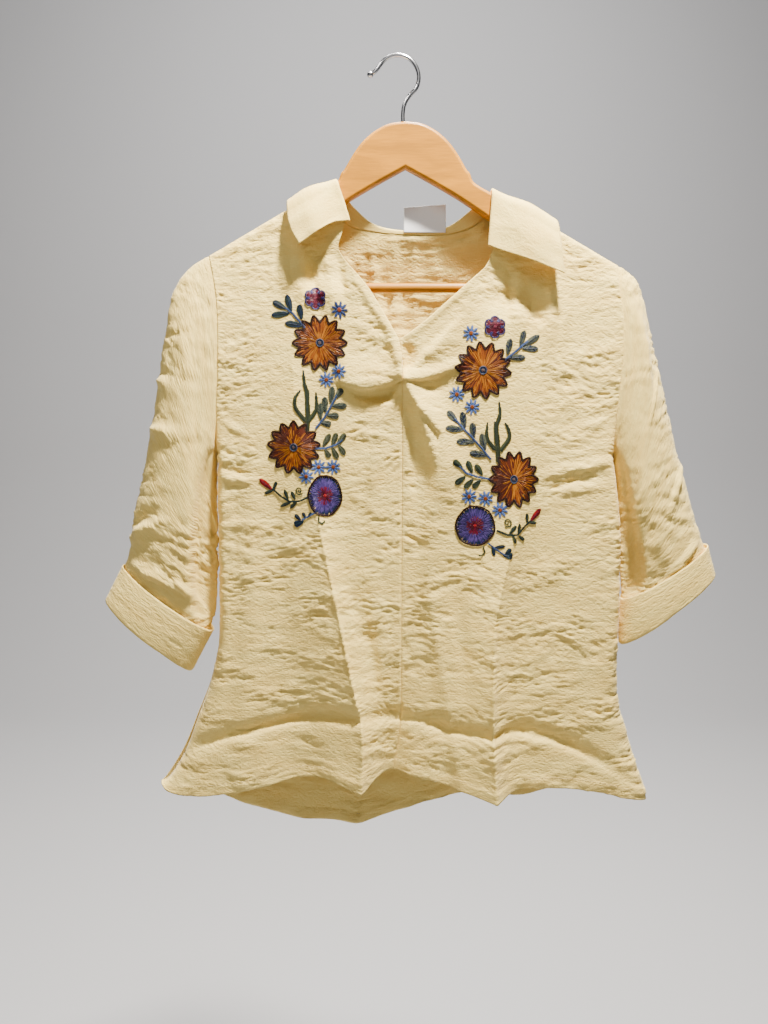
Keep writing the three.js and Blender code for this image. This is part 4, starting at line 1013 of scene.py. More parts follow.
# Thread colours
NAVY = (0.006, 0.014, 0.04)
DEEP_GREEN = (0.018, 0.032, 0.028)
OLIVE = (0.045, 0.055, 0.022)
SAGE = (0.085, 0.095, 0.062)
STEM_BLUE = (0.05, 0.085, 0.2)
SKY = (0.065, 0.11, 0.27)
ORANGE = (0.2, 0.05, 0.003)
AMBER = (0.32, 0.11, 0.005)
RUST = (0.07, 0.013, 0.004)
UMBER = (0.022, 0.007, 0.004)
WINE = (0.05, 0.0015, 0.009)
VIOLET = (0.042, 0.025, 0.12)
LILAC = (0.08, 0.05, 0.19)
CRIMSON = (0.1, 0.003, 0.016)
SCARLET = (0.3, 0.007, 0.007)
PETROL = (0.008, 0.032, 0.046)
CREAM = (0.62, 0.47, 0.2)


def turned(centre, angle, radius, squash=1.0):
    """A point off a centre. The angle is clockwise from straight up."""
    return (centre[0] + radius * math.sin(angle) * squash, centre[1] - radius * math.cos(angle))


def rays(work, centre, count, inner, outer, width, tone, squash=1.0, base=0.3, ragged=0.06):
    """A ring of satin stitches that point out of a flower's middle. outer may depend on the angle."""
    for k in range(count):
        angle = 2 * math.pi * (k + work.chance.uniform(-0.3, 0.3)) / count
        reach = outer(angle) if callable(outer) else outer
        shade = tone(angle) if callable(tone) else tone
        begin = inner * work.chance.uniform(0.88, 1.05)
        end = reach * work.chance.uniform(1 - ragged, 1.0)
        work.stitch(turned(centre, angle, begin, squash), turned(centre, angle, end, squash), width, 0.5,
                    shade, base)


def border(work, points, reach, colour, spacing=0.8, base=0.55):
    """A corded edge: short slanting stitches laid across a line."""
    whole, at = walk(points)
    count = max(2, round(whole / spacing))
    for k in range(count):
        here = at((k + 0.5) * whole / count)
        ahead = at((k + 1.1) * whole / count)
        way = math.atan2(ahead[0] - here[0], -(ahead[1] - here[1]) + 1e-9)
        work.stitch(turned(here, way + 2.1, reach / 2), turned(here, way - 1.05, reach / 2), 0.95, 0.55,
                    colour, base)


def mixed(work, first, second, share=0.35):
    """Picks one of two threads, the second one for its share of the stitches."""
    return second if work.chance.random() < share else first


def sunflower(work, centre, radius, petals, dark, start=0.0, squash=1.0):
    """A full flower with pointed petals in a corded edge. dark(angle) is its share of red-brown threads."""
    def edge(angle):
        f = ((angle - start) / (2 * math.pi) * petals) % 1 * 2 - 1
        return radius * (0.72 + 0.28 * (1 - abs(f) ** 1.2))

    def outside(angle):
        return mixed(work, mixed(work, ORANGE, AMBER, 0.4), RUST, 0.24 + 0.66 * dark(angle))

    def inside(angle):
        return mixed(work, mixed(work, AMBER, ORANGE, 0.45), RUST, 0.08 + 0.6 * dark(angle))

    # Underlay: wide red-brown stitches under the petals. This is partly a real underlay and partly painted
    # shade that darkens the gaps between the satin stitches.
    rays(work, centre, 54, radius * 0.1, lambda angle: edge(angle) - 1.2, 2.6, RUST, squash, 0.1)
    rays(work, centre, 120, radius * 0.58, lambda angle: edge(angle) - 0.8, 1.15, outside, squash, 0.35)
    rays(work, centre, 84, radius * 0.76, lambda angle: edge(angle) - 1.4, 1.0,
         lambda angle: mixed(work, UMBER, RUST, 0.5), squash, 0.5)
    rays(work, centre, 88, radius * 0.34, radius * 0.76, 1.1, outside, squash, 0.55, 0.2)
    rays(work, centre, 56, radius * 0.14, radius * 0.5, 1.0, inside, squash, 0.65, 0.25)
    for k in range(petals):
        angle = start + 2 * math.pi * k / petals
        work.stitch(turned(centre, angle, radius * 0.5, squash), turned(centre, angle, radius * 0.8, squash),
                    0.6, 0.4, RUST, 0.7)
    steps = petals * 8
    around = [start + 2 * math.pi * k / steps for k in range(steps + 1)]
    border(work, [turned(centre, angle, edge(angle) - 0.6, squash) for angle in around], 2.4, UMBER)
    rays(work, centre, 30, 0.2, radius * 0.155, 1.0, NAVY, squash, 0.8)
    eye = [turned(centre, 2 * math.pi * k / 16, radius * 0.135, squash) for k in range(17)]
    work.path(eye, 0.8, 0.6, (0.06, 0.07, 0.11), 1.5, base=1.0)
    rays(work, centre, 7, 0.0, radius * 0.07, 0.8, (0.1, 0.06, 0.05), squash, 1.1)


def daisy(work, centre, radius, colour=SKY, heart=ORANGE, start=0.2):
    """A star of narrow petals, three stitches each, with dark stitches between them."""
    petals = 9
    for k in range(petals):
        angle = start + 2 * math.pi * k / petals
        for f in (-0.15, 0.15, 0.0):
            reach = radius * (1 - 0.9 * abs(f)) * work.chance.uniform(0.94, 1.02)
            foot = turned(centre, angle + f, radius * 0.2)
            tip = turned(centre, angle + f * 0.8, reach)
            work.stitch(foot, tip, 1.15, 0.55, colour, 0.35, fade=tuple(min(1, 1.25 * c) for c in colour))
        notch = angle + math.pi / petals
        work.stitch(turned(centre, notch, radius * 0.22), turned(centre, notch, radius * 0.55), 0.7, 0.3,
                    NAVY, 0.2)
    rays(work, centre, 12, 0.0, radius * 0.24, 0.95, heart, 1.0, 0.8)


def blossom(work, centre, radius):
    """A small flower with round petals, each in a corded edge."""
    petals = 6
    for k in range(petals):
        angle = 2 * math.pi * k / petals
        heart = turned(centre, angle, radius * 0.6)
        rays(work, heart, 16, 0.0, radius * 0.34, 1.3, lambda turn: mixed(work, WINE, CRIMSON, 0.3), 1.0,
             0.3)
        rim = [turned(heart, angle + t * math.pi / 9, radius * 0.38) for t in range(-6, 7)]
        border(work, rim, 1.7, (0.03, 0.024, 0.1), 0.75)
    rays(work, centre, 26, 0.0, radius * 0.5, 1.2, lambda turn: mixed(work, WINE, CRIMSON, 0.4), 1.0, 0.4)
    rays(work, centre, 8, 0.0, radius * 0.14, 0.9, (0.15, 0.02, 0.04), 1.0, 0.8)


def round_flower(work, centre, radius, squash):
    """A full round flower: rings of satin stitch from crimson out to violet, in a ragged brown edge."""
    # Underlay: wide navy stitches under the outer rings. This is partly a real underlay and partly painted
    # shade that darkens the gaps between the satin stitches.
    rays(work, centre, 60, radius * 0.5, radius, 2.2, NAVY, squash, 0.1)
    for inner, outer, count, first, second, width, base in (
        (0.78, 1.0, 84, VIOLET, NAVY, 1.1, 0.3), (0.6, 0.88, 78, LILAC, VIOLET, 1.05, 0.4),
        (0.42, 0.7, 60, VIOLET, LILAC, 1.05, 0.5), (0.24, 0.52, 46, CRIMSON, VIOLET, 1.05, 0.6),
        (0.06, 0.34, 26, WINE, CRIMSON, 1.0, 0.7),
    ):
        rays(work, centre, count, radius * inner, radius * outer, width,
             lambda angle, first=first, second=second: mixed(work, first, second), squash, base, 0.16)
    ring = [turned(centre, 2 * math.pi * k / 30, radius * (1.0 + 0.02 * math.sin(5 * k)), squash)
            for k in range(31)]
    border(work, ring, 2.3, UMBER, 0.9, 0.6)
    rays(work, centre, 8, 0.0, radius * 0.09, 0.8, SCARLET, 1.0, 0.95)


def leaf(work, base, tip, width, colour, edge):
    """Satin stitches that slant forward from both sides of a rib, some of them in the rib's colour."""
    length = math.dist(base, tip)
    angle = math.atan2(tip[0] - base[0], -(tip[1] - base[1]))
    work.stitch(turned(base, angle, length * 0.12), turned(base, angle, length * 0.9), width * 0.62, 0.3,
                colour, 0.15)
    count = max(5, round(length / 0.72))
    for k in range(count):
        t = (k + 0.5) / count
        half = width / 2 * math.sin(math.pi * min(1, t * 0.9 + 0.08)) ** 0.7
        foot = turned(base, angle, t * length * 0.88)
        for f in (-1, 1):
            end = turned(foot, angle + f * 0.8, half / math.sin(0.8))
            work.stitch(foot, end, 1.05, 0.5, mixed(work, colour, edge, 0.3), 0.35)
    work.stitch(base, turned(base, angle, length * 0.94), 0.7, 0.35, edge, 0.85)


def leaves_on(work, leaves, width, colour, edge):
    """Leaves of one kind. Each is (base x, base down, tip x, tip down)."""
    for base_x, base_down, tip_x, tip_down in leaves:
        leaf(work, (base_x, base_down), (tip_x, tip_down), width, colour, edge)


def sprig(work, stem, leaves, width, colour, edge):
    """Leaves on a blue stem."""
    leaves_on(work, leaves, width, colour, edge)
    border(work, stem, 2.4, STEM_BLUE, 0.8)


def cactus(work, arms):
    """A branching plant with wavy arms that come to a point, as thick corded lines."""
    for reach, *arm in arms:
        curve = Line(*((k, x, down) for k, (x, down) in enumerate(arm)))
        steps = np.linspace(0, len(arm) - 1, 30)
        points = list(zip(curve.at(steps, 1).tolist(), curve.at(steps, 2).tolist()))
        thirds = ((points[:12], reach), (points[11:22], reach * 0.85), (points[21:27], reach * 0.6),
                  (points[26:], reach * 0.35))
        for part, wide in thirds:
            border(work, part, wide * 1.6, OLIVE if wide > reach * 0.5 else DEEP_GREEN, 0.6, 0.35)
        work.path(points, 0.6, 0.4, DEEP_GREEN, 2.4, base=0.8)


def rosebud(work, stem, base, tip, leaves):
    """A red bud at the end of a dark stem with small leaves, the last two of them at the bud."""
    leaves_on(work, leaves, 3.4, OLIVE, DEEP_GREEN)
    leaf(work, base, tip, 5.2, SCARLET, CRIMSON)
    border(work, stem, 2.4, DEEP_GREEN, 0.8)


def spiral(work, centre, radius, start, flip=1):
    """A small tendril that winds inwards."""
    points = [turned(centre, start + flip * t * 0.5, radius * (1 - 0.048 * t)) for t in range(19)]
    border(work, points, 1.5, OLIVE, 0.8, 0.4)


def right_cluster(work):
    """The flowers on the wearer's right front, from the top down."""
    sprig(work, [(-93, 251), (-99, 244), (-105, 237), (-112, 232)],
          [(-95, 249, -114, 246), (-108, 237, -127, 239), (-111, 233, -125, 225), (-106, 236, -111, 218),
           (-96, 243, -99, 228)], 6.2, DEEP_GREEN, NAVY)
    blossom(work, (-83, 223), 10.4)
    daisy(work, (-60, 234), 9, (0.02, 0.035, 0.11), (0.2, 0.04, 0.008))
    sunflower(work, (-79, 265), 27, 14, lambda angle: 0.0)
    daisy(work, (-61, 292), 8)
    daisy(work, (-73, 300), 8, start=0.5)
    cactus(work, [(3.4, (-92, 350), (-91, 334), (-92, 313), (-94, 303), (-95, 291)),
                  (3.0, (-93, 340), (-102, 328), (-103, 318), (-98, 310)),
                  (3.0, (-91, 340), (-83, 328), (-83, 312)), (2.6, (-92, 330), (-90, 310))])
    sprig(work, [(-84, 347), (-75, 336), (-68, 324), (-63, 315)],
          [(-79, 341, -68, 343), (-79, 338, -79, 321), (-73, 334, -60, 335), (-74, 331, -75, 315),
           (-68, 325, -52, 325), (-69, 322, -67, 305), (-65, 318, -57, 308)], 6.2, SAGE, DEEP_GREEN)
    sunflower(work, (-105, 365), 26.5, 13, lambda angle: 0.9 if math.cos(angle) > 0.25 else 0.1, start=0.25)
    sprig(work, [(-84, 366), (-75, 366), (-65, 363), (-58, 358)],
          [(-77, 364, -69, 351), (-68, 363, -63, 350), (-63, 362, -54, 351), (-75, 367, -70, 375),
           (-68, 365, -62, 377), (-62, 362, -55, 373)], 5.6, OLIVE, SAGE)
    daisy(work, (-93, 393), 8, start=0.35)
    daisy(work, (-81, 384), 8)
    daisy(work, (-67, 384), 8, start=0.5)
    round_flower(work, (-75, 412), 19.5, 0.82)
    rosebud(work, [(-91, 413), (-99, 417), (-109, 418), (-118, 413), (-127, 405)], (-127, 406), (-140, 395),
            [(-108, 418, -120, 423), (-111, 416, -115, 405), (-104, 416, -108, 407), (-102, 417, -110, 425),
             (-126, 407, -135, 410), (-126, 406, -122, 398)])
    spiral(work, (-100, 407), 4.2, 2.2)
    border(work, [(-84, 428), (-93, 433), (-98, 436)], 2.0, STEM_BLUE)
    leaf(work, (-92, 433), (-88, 428), 3.0, DEEP_GREEN, NAVY)
    leaf(work, (-94, 434), (-97, 428), 3.2, DEEP_GREEN, NAVY)
    leaf(work, (-96, 437), (-106, 441), 6.4, NAVY, PETROL)
    leaf(work, (-99, 436), (-105, 430), 4.0, DEEP_GREEN, NAVY)
    border(work, [(-81, 432), (-81, 437), (-78, 439), (-75, 437)], 1.9, OLIVE)


def left_cluster(work):
    """The flowers on the wearer's left front: near the mirror of the others, and 30 mm lower."""
    daisy(work, (66, 256), 8.6)
    blossom(work, (89, 250), 10.5)
    sprig(work, [(99, 281), (108, 274), (115, 268), (121, 263)],
          [(101, 276, 104, 260), (113, 268, 118, 252), (116, 268, 133, 257), (115, 270, 132, 271),
           (102, 279, 120, 279)], 6.0, SAGE, NAVY)
    sunflower(work, (78, 291), 28, 14, lambda angle: 0.0, start=0.1)
    daisy(work, (53, 314), 8.4)
    daisy(work, (68, 326), 8.4, start=0.5)
    cactus(work, [(3.4, (94, 380), (93, 361), (92, 344), (95, 333), (94, 321)),
                  (3.0, (91, 368), (83, 356), (83, 341)),
                  (3.0, (96, 368), (104, 356), (103, 347), (100, 341)), (2.8, (92, 362), (90, 340))])
    sprig(work, [(87, 377), (77, 365), (67, 354), (58, 345), (51, 337)],
          [(84, 373, 64, 370), (81, 368, 77, 350), (71, 360, 51, 359), (70, 356, 68, 340),
           (60, 348, 40, 346), (61, 347, 58, 329), (54, 341, 43, 329)], 6.6, SAGE, NAVY)
    sunflower(work, (109, 396), 28, 14, lambda angle: 0.85 if math.sin(angle) < -0.1 else 0.05, start=0.0,
              squash=0.88)
    sprig(work, [(86, 396), (74, 394), (63, 390), (56, 383)],
          [(79, 392, 71, 381), (69, 390, 63, 377), (59, 385, 49, 377), (77, 397, 69, 405),
           (70, 396, 60, 405), (62, 393, 51, 401)], 5.8, OLIVE, DEEP_GREEN)
    daisy(work, (66, 413), 8.4)
    daisy(work, (82, 415), 8.4, start=0.5)
    daisy(work, (96, 426), 8.4, start=0.35)
    round_flower(work, (72, 442), 19.5, 0.97)
    rosebud(work, [(93, 446), (103, 450), (113, 450), (120, 442), (127, 436)], (126, 437), (137, 424),
            [(108, 451, 112, 459), (105, 449, 112, 440), (114, 451, 121, 456), (114, 449, 115, 438),
             (123, 438, 122, 428), (124, 438, 133, 439)])
    spiral(work, (103, 438), 4.6, 3.6, -1)
    border(work, [(85, 459), (93, 465), (101, 470)], 2.0, STEM_BLUE)
    leaf(work, (91, 463), (102, 461), 3.4, DEEP_GREEN, NAVY)
    leaf(work, (89, 461), (91, 472), 3.6, DEEP_GREEN, NAVY)
    leaf(work, (99, 470), (109, 471), 6.4, PETROL, NAVY)
    leaf(work, (101, 469), (107, 463), 4.0, DEEP_GREEN, NAVY)
    border(work, [(80, 462), (82, 468), (79, 471), (76, 471)], 1.6, OLIVE)


# Where the embroidery lies, as x, down and reach: the cloth is flatter there
EMBROIDERED = ((-112, 234, 20), (-83, 223, 15), (-60, 234, 13), (-79, 265, 32), (-66, 296, 18),
               (-92, 322, 26), (-66, 326, 22), (-105, 365, 31), (-66, 363, 17), (-80, 387, 19),
               (-76, 412, 24), (-115, 412, 24), (-96, 434, 14),
               (66, 256, 13), (89, 250, 15), (116, 267, 20), (78, 291, 33), (60, 320, 18),
               (62, 350, 28), (93, 350, 26), (109, 396, 33), (66, 391, 20), (81, 418, 21), (72, 442, 24),
               (115, 442, 24), (97, 466, 16))


def near_embroidery(x, down):
    """1 under the flowers and 0 away from them."""
    cover = np.zeros(x.shape)
    for cx, cd, reach in EMBROIDERED:
        cover = np.maximum(cover, smooth(reach * 1.3, reach * 0.8, np.hypot(x - cx, down - cd)))
    return cover


def front_crinkle(x, down, seed, height):
    """The crepe's wrinkles on a front, calmed under the flowers."""
    return height * crinkle(x, down, seed) * (1 - 0.86 * near_embroidery(x, down))


FRONT_SEEDS = {"right": 3.1, "left": 7.7}

# Size of the flat cloth coordinates of a sleeve, a cuff and the collar
SLEEVE_UV = (190, 330)
CUFF_UV = (220, 88)
COLLAR_UV = (420, 62)


def on_front(side, clear=0.0):
    """The crinkled surface of a front, by x, down and the height off it."""
    height = settings().crinkle / MM

    def surface(x, down, lift):
        raised = front_depth(x, down) + front_crinkle(x, down, FRONT_SEEDS[side], height)
        return np.array([x, -(raised + lift + clear), -down])

    return surface


class BlouseSettings(bpy.types.PropertyGroup):
    """What a user would change about the blouse and its hanger"""
    crinkle: FloatProperty(name="Crinkle", description="Height of the crepe's wrinkles on the body",
                           default=0.0012, unit="LENGTH", min=0.0, max=0.003)
    cloth_light: FloatVectorProperty(name="Cloth, light", description="Colour of the cloth's raised threads",
                                     subtype="COLOR", default=(0.95, 0.75, 0.23), min=0, max=1)
    cloth_shade: FloatVectorProperty(name="Cloth, deep", description="Colour between the cloth's threads",
                                     subtype="COLOR", default=(0.84, 0.57, 0.14), min=0, max=1)
    wood_light: FloatVectorProperty(name="Wood", description="Colour of the hanger's wood",
                                    subtype="COLOR", default=(0.62, 0.25, 0.004), min=0, max=1)


class BLOUSE_OT_fronts(bpy.types.Operator):
    """Build the two fronts, with the V's folds, the pressed creases and the turned hem"""
    bl_idname = "blouse.fronts"
    bl_label = "Fronts"

    def execute(self, context):
        height = settings().crinkle / MM
        for side, seed in FRONT_SEEDS.items():
            def place(a, b, side=side):
                return front_place(side, a, b ** 1.12)

            def relief(a, b, u, v, seed=seed, side=side):
                inset = np.abs(u - NECK_EDGE[side].at(v))
                neck = np.where(v < V_DOWN, smooth(0, 18, inset), 1)
                edges = neck * smooth(0, 0.03, a) * smooth(1, 0.985, a) * smooth(0, 0.012, b)
                hem = 0.5 * smooth(HEM_DEPTH + 0.6, HEM_DEPTH - 0.6, FRONT_HEM.at(u) - v)
                seam = -0.8 * smooth(2.4, 0, np.abs(u - MIDDLE_SEAM.at(v))) * np.where(v > 300, 1, 0)
                return front_crinkle(u, v, seed, height) * edges + hem + seam

            piece = cloth_sheet(f"front_{side}_cloth", 100, 440, place, relief, (0, 400, -450),
                                stands_for=(f"front_{side}",))
        return {"FINISHED"}


class BLOUSE_OT_back(bpy.types.Operator):
    """Build the back, gathered under the neck and longer at its hem"""
    bl_idname = "blouse.back"
    bl_label = "Back"

    def execute(self, context):
        height = settings().crinkle / MM

        def place(a, b):
            return back_place(a, b ** 1.15)

        def relief(a, b, u, v):
            edges = smooth(0, 0.02, a) * smooth(1, 0.98, a) * smooth(0, 0.02, b)
            hem = -0.4 * smooth(HEM_DEPTH + 0.5, HEM_DEPTH - 0.5, BACK_HEM.at(u) - v)
            return height * crinkle(u, v, 12.4) * edges + hem

        piece = cloth_sheet("back_cloth", 124, 360, place, relief, (0, -400, -450), stands_for=("back",))
        return {"FINISHED"}


class BLOUSE_OT_sleeves(bpy.types.Operator):
    """Build the two elbow sleeves, in finer gauze wrinkles"""
    bl_idname = "blouse.sleeves"
    bl_label = "Sleeves"

    def execute(self, context):
        height = settings().crinkle / MM * 1.1
        for side, seed in (("right", 21.3), ("left", 27.9)):
            def place(a, b, side=side):
                return sleeve_place(side, a, b)

            def relief(a, b, u, v, side=side, seed=seed):
                edges = smooth(0, 0.03, b)
                joined = smooth(0, 6, np.minimum(u, SLEEVE_UV[0] - u))
                x, y, down = sleeve_place(side, a, b)
                folds = 1.4 * sum(fold.rise(u, v) for fold in SLEEVE_FOLDS[side])
                return (height * crinkle(x + 0.4 * y, down, seed, 7, 3.4) * joined + folds) * edges

            centre = (-220, 0, -370) if side == "right" else (245, 0, -350)
            piece = cloth_sheet(f"sleeve_{side}_cloth", 112, 170, place, relief, centre, flat_as(SLEEVE_UV),
                                ring=True, stands_for=(f"sleeve_{side}",))
        return {"FINISHED"}


class BLOUSE_OT_cuffs(bpy.types.Operator):
    """Build the turned-up cuffs"""
    bl_idname = "blouse.cuffs"
    bl_label = "Cuffs"

    def execute(self, context):
        for side, seed in (("right", 33.3), ("left", 37.1)):
            def place(a, b, side=side):
                return cuff_place(side, a, b)

            def relief(a, b, u, v, seed=seed):
                joined = smooth(0, 0.05, np.minimum(a, 1 - a))
                soft = 0.8 * ripple(u, v, 30, 60, seed) * smooth(1, 0.8, b)
                return (0.4 * crinkle(u, v, seed, 9, 2.6) + soft) * joined

            centre = (-247, 0, -537) if side == "right" else (269, 0, -510)
            piece = cloth_sheet(f"cuff_{side}_cloth", 120, 46, place, relief, centre, flat_as(CUFF_UV),
                                ring=True, thick=CUFF_THICK, stands_for=(f"cuff_{side}",))
        return {"FINISHED"}


class BLOUSE_OT_collar(bpy.types.Operator):
    """Build the shirt collar, rolled over at the neck"""
    bl_idname = "blouse.collar"
    bl_label = "Collar"

    def execute(self, context):
        def place(a, b):
            return collar_place(4 * a, b)

        def relief(a, b, u, v):
            flat = smooth(0.2, 0.34, b) * smooth(1, 0.97, b) * smooth(0, 0.02, a) * smooth(1, 0.98, a)
            return (0.22 * crinkle(u, v, 41.7, 12, 3.2) + 0.5 * ripple(u, v, 26, 22, 43.1)) * flat

        smoother = cloth_material("butter crepe, fused", wrinkles=0.5, threads=0.9, bump=0.45)
        piece = cloth_sheet("collar_cloth", 250, 44, place, relief, (6, 0, -900), flat_as(COLLAR_UV),
                            thick=COLLAR_THICK, stands_for=("collar",), cloth=smoother)
        return {"FINISHED"}


class BLOUSE_OT_label(bpy.types.Operator):
    """Build the plain label at the back of the neck"""
    bl_idname = "blouse.label"
    bl_label = "Label"

    def execute(self, context):
        def place(a, b):
            x = blend(2, 43, a)
            down = blend(130, 157.5, b) + 3 * (1 - a) * (1 - b) - 1.0
            seat = hang(BACK_NECK.at(x) - ridge_down(x), *BACK_SWELL) - 1.5
            up = 1 - b
            return x, seat + 3 * up * up + 1.2 * np.sin(a * np.pi) * up, down

        def relief(a, b, u, v):
            return 0.25 * ripple(u, v, 16, 12, 51.0)

        piece = cloth_sheet("label_satin", 40, 28, place, relief, (20, 400, -140), thick=LABEL_THICK,
                            stands_for=("label",), cloth=label_material())
        return {"FINISHED"}


class BLOUSE_OT_embroidery(bpy.types.Operator):
    """Stitch the two clusters of flowers"""
    bl_idname = "blouse.embroidery"
    bl_label = "Embroidery"

    def execute(self, context):
        for side, cluster, seed in (("right", right_cluster, 5), ("left", left_cluster, 9)):
            work = Threadwork(on_front(side, clear=0.35), seed)
            cluster(work)
            work.build(f"embroidery_{side}")
        return {"FINISHED"}


class BLOUSE_OT_stitching(bpy.types.Operator):
    """Sew the rows of stitches along the collar and the hems"""
    bl_idname = "blouse.stitching"
    bl_label = "Stitching"

    def execute(self, context):
        for side, start, end in (("right", -236, -8), ("left", -4, 240)):
            work = Threadwork(on_front(side), 61)
            hem = [(x, float(FRONT_HEM.at(x)) - HEM_DEPTH) for x in np.linspace(start, end, 60)]
            work.path(hem, 0.6, 0.35, CREAM, length=2.6, overlap=-0.16, base=0.5)
            work.build(f"front_{side}_stitches")

        def on_back(x, down, lift):
            return np.array([x, back_depth(x, down) + lift, -down])

        work = Threadwork(on_back, 63)
        hem = [(x, float(BACK_HEM.at(x)) - HEM_DEPTH) for x in np.linspace(-215, 235, 110)]
        work.path(hem, 0.6, 0.35, CREAM, length=2.6, overlap=-0.16, base=0.6)
        work.build("back_stitches")

        def on_collar(along, through, lift):
            return lifted(collar_place, along / 100, through / 100, -0.72 - lift)

        work = Threadwork(on_collar, 65)
        edge = [(s, 93) for s in np.linspace(4, 396, 160)]
        work.path(edge, 2.0, 0.3, CREAM, length=2.5, overlap=-0.18, base=0.0)
        work.build("collar_stitches")
        return {"FINISHED"}


# Half outline of the hanger's arms, right round: step, out from the middle, down
HANGER_OUTLINE = Line(
    (0, 0, 58), (1, 14, 59.5), (2, 25, 64), (3, 34, 70), (4, 43, 78.5), (5, 51, 89.5), (6, 58, 101),
    (7, 61.5, 105), (8, 64.4, 112), (9, 70, 116.4), (10, 84, 124), (11, 110, 138.1), (12, 150, 160.7),
    (13, 174, 174.2), (14, 182, 181), (15, 183, 192), (16, 181, 212), (17, 176, 221), (18, 168, 223),
    (19, 158, 216), (20, 138, 189), (21, 110, 167.5), (22, 60, 134), (23, 30, 116.5), (24, 0, 100.5),
)


class BLOUSE_OT_hanger(bpy.types.Operator):
    """Build the hanger's shaped arms and its bar"""
    bl_idname = "blouse.hanger"
    bl_label = "Hanger"

    def execute(self, context):
        steps = np.linspace(0, HANGER_OUTLINE.rows[-1, 0], 97)
        out, down = HANGER_OUTLINE.at(steps, 1), HANGER_OUTLINE.at(steps, 2)
        ring = [(HANGER_X + o, -d) for o, d in zip(out, down)]
        ring += [(HANGER_X - o, -d) for o, d in list(zip(out, down))[-2:0:-1]]
        bm = bmesh.new()
        half = HANGER_THICK / 2
        verts = [bm.verts.new((x * MM, -half * MM, z * MM)) for x, z in ring]
        face = bm.faces.new(verts)
        move_grown(bm, bmesh.ops.extrude_face_region(bm, geom=[face]), (0, HANGER_THICK * MM, 0))
        bmesh.ops.recalc_face_normals(bm, faces=bm.faces)
        rims = [edge for edge in bm.edges if abs(edge.verts[0].co.y - edge.verts[1].co.y) < 1e-6]
        bmesh.ops.bevel(bm, geom=rims, offset=ARM_EDGE * MM, segments=5, profile=0.5, affect="EDGES",
                        material=-1)
        arms = finish_piece(bm, "hanger_wood_form", wood_material(), ("hanger_arms",))
        weighted = arms.modifiers.new("faces", "WEIGHTED_NORMAL")
        weighted.keep_sharp = True
        bm = bmesh.new()
        bmesh.ops.create_cone(bm, cap_ends=True, segments=48, radius1=BAR_RADIUS * MM,
                              radius2=BAR_RADIUS * MM, depth=BAR_LONG * MM)
        lengthwise = [edge for edge in bm.edges if abs(edge.verts[0].co.z - edge.verts[1].co.z) > 0.1]
        bmesh.ops.subdivide_edges(bm, edges=lengthwise, cuts=24)
        for vert in bm.verts:
            vert.co = (HANGER_X * MM + vert.co.z, vert.co.x, -BAR_DOWN * MM + vert.co.y)
        bmesh.ops.recalc_face_normals(bm, faces=bm.faces)
        finish_piece(bm, "hanger_bar_form", wood_material(), ("hanger_bar",))
        return {"FINISHED"}


class BLOUSE_OT_hook(bpy.types.Operator):
    """Bend the steel hook"""
    bl_idname = "blouse.hook"
    bl_label = "Hook"

    def execute(self, context):
        bend = math.sqrt((HOOK_RADIUS - WIRE_RADIUS) ** 2 - HOOK_X ** 2)
        # the wire runs up the stem, round the bend and out to its tip
        path = [(STEM_X, -70), (STEM_X, -62), (STEM_X, -46.5), (2.6, -40), (7.4, -33)]
        for k in range(12):
            angle = math.radians(-28 + 178 * k / 11)
            path.append((HOOK_X + HOOK_RADIUS * math.cos(angle), -bend + HOOK_RADIUS * math.sin(angle)))
        path += [(-25.4, -11.6), (-29, -14.2)]
        curve = bpy.data.curves.new("hook path", "CURVE")
        curve.dimensions = "3D"
        curve.bevel_depth = WIRE_RADIUS * MM
        curve.bevel_resolution = 7
        curve.resolution_u = 6
        curve.use_fill_caps = True
        line = curve.splines.new("BEZIER")
        line.bezier_points.add(len(path) - 1)
        for point, (x, z) in zip(line.bezier_points, path):
            point.co = (x * MM, 0, z * MM)
            point.handle_left_type = point.handle_right_type = "AUTO"
        wire = bpy.data.objects.new("hook path", curve)
        bpy.context.scene.collection.objects.link(wire)
        shape = wire.evaluated_get(context.evaluated_depsgraph_get()).to_mesh()
        bm = bmesh.new()
        bm.from_mesh(shape)
        bpy.data.objects.remove(wire)
        ball = bmesh.ops.create_uvsphere(bm, u_segments=24, v_segments=16, radius=WIRE_TIP_RADIUS * MM)
        bmesh.ops.translate(bm, verts=ball["verts"], vec=(WIRE_TIP[0] * MM, 0, WIRE_TIP[1] * MM))
        finish_piece(bm, "hook_wire", steel_material(), ("hanger_hook",))
        return {"FINISHED"}


# The lens and sensor in millimetres, the place in metres, the tilt in degrees up from straight down
CAMERA_LENS = 28.125
CAMERA_SENSOR = 36
CAMERA_PLACE = (-0.01742, -0.8, -0.3326)
CAMERA_TILT = 83


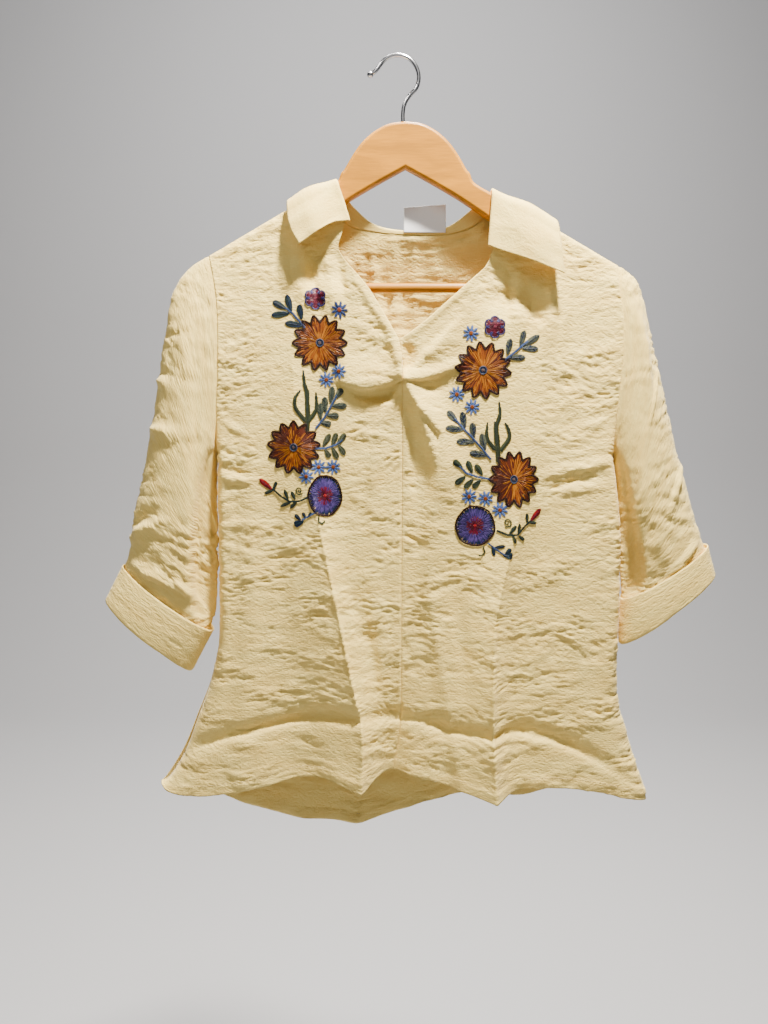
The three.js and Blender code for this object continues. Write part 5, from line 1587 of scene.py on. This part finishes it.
class BLOUSE_OT_stage(bpy.types.Operator):
    """Set the floor, the lights, the surroundings and the camera"""
    bl_idname = "blouse.stage"
    bl_label = "Stage"

    def execute(self, context):
        scene = context.scene
        bm = bmesh.new()
        bend = [(2.2 + math.sin(turn), -0.5 - math.cos(turn)) for turn in np.linspace(0, math.pi / 2, 13)]
        line = [bm.verts.new((-6, y, z)) for y, z in [(-3.5, -1.5), *bend, (3.2, 4.0)]]
        edges = [bm.edges.new(pair) for pair in zip(line, line[1:])]
        move_grown(bm, bmesh.ops.extrude_edge_only(bm, edges=edges), (12, 0, 0))
        bmesh.ops.recalc_face_normals(bm, faces=bm.faces)
        paper, _, _, shader = new_material("pale paper")
        set_finish(shader, Base_Color=(0.56, 0.56, 0.57, 1), Roughness=0.95)
        new_object(bm, "sweep", paper)
        world = bpy.data.worlds.new("pale room")
        world.use_nodes = True
        set_finish(world.node_tree.nodes["Background"], Color=(0.78, 0.8, 0.85, 1), Strength=0.09)
        scene.world = world
        for name, place, aim, size, power, colour in (
            ("key light", (0.2, -0.33, 0.72), (0, 0, -0.4), 0.1, 78, (1.0, 0.94, 0.86)),
            ("second light", (-0.7, -0.7, 0.9), (0, 0, -0.4), 0.25, 7, (1.0, 0.95, 0.88)),
            ("room light", (0.0, -1.9, 0.5), (0, 0, -0.45), 1.2, 3, (1.0, 0.98, 0.95)),
            ("back light", (0.1, 0.8, 1.2), (0, 0, -0.4), 0.2, 55, (1.0, 0.95, 0.88)),
            ("paper light", (0.0, 0.9, 1.9), (0, 2.9, -0.4), 1.2, 92, (1.0, 0.98, 0.96)),
        ):
            lamp = bpy.data.lights.new(name, "AREA")
            lamp.energy = power
            lamp.size = size
            lamp.color = colour
            light = bpy.data.objects.new(name, lamp)
            light.location = place
            light.rotation_euler = (Vector(aim) - Vector(place)).to_track_quat("-Z", "Y").to_euler()
            scene.collection.objects.link(light)
        lens = bpy.data.cameras.new("camera")
        lens.lens = CAMERA_LENS
        lens.sensor_width = CAMERA_SENSOR
        camera = bpy.data.objects.new("camera", lens)
        camera.location = CAMERA_PLACE
        camera.rotation_euler = (math.radians(CAMERA_TILT), 0, 0)
        scene.collection.objects.link(camera)
        scene.camera = camera
        return {"FINISHED"}


class BLOUSE_PT_pieces(bpy.types.Panel):
    """The sizes and colours, and a button for each piece"""
    bl_idname = "BLOUSE_PT_pieces"
    bl_label = "Blouse"
    bl_space_type = "VIEW_3D"
    bl_region_type = "UI"
    bl_category = "Blouse"

    def draw(self, context):
        for name in BlouseSettings.__annotations__:
            self.layout.prop(context.scene.blouse_settings, name)
        for piece in PIECES:
            self.layout.operator(piece.bl_idname)


PIECES = (BLOUSE_OT_stage, BLOUSE_OT_hanger, BLOUSE_OT_hook, BLOUSE_OT_fronts, BLOUSE_OT_back,
          BLOUSE_OT_sleeves, BLOUSE_OT_cuffs, BLOUSE_OT_collar, BLOUSE_OT_label, BLOUSE_OT_embroidery,
          BLOUSE_OT_stitching)


def register():
    for made in (BlouseSettings, *PIECES, BLOUSE_PT_pieces):
        bpy.utils.register_class(made)
    bpy.types.Scene.blouse_settings = PointerProperty(type=BlouseSettings)


def unregister():
    del bpy.types.Scene.blouse_settings
    for made in reversed((BlouseSettings, *PIECES, BLOUSE_PT_pieces)):
        bpy.utils.unregister_class(made)


def main():
    register()
    bpy.ops.blouse.stage()
    bpy.ops.blouse.hanger()
    bpy.ops.blouse.hook()
    bpy.ops.blouse.fronts()
    bpy.ops.blouse.back()
    bpy.ops.blouse.sleeves()
    bpy.ops.blouse.cuffs()
    bpy.ops.blouse.collar()
    bpy.ops.blouse.label()
    bpy.ops.blouse.embroidery()
    bpy.ops.blouse.stitching()


if __name__ == "__main__":
    main()
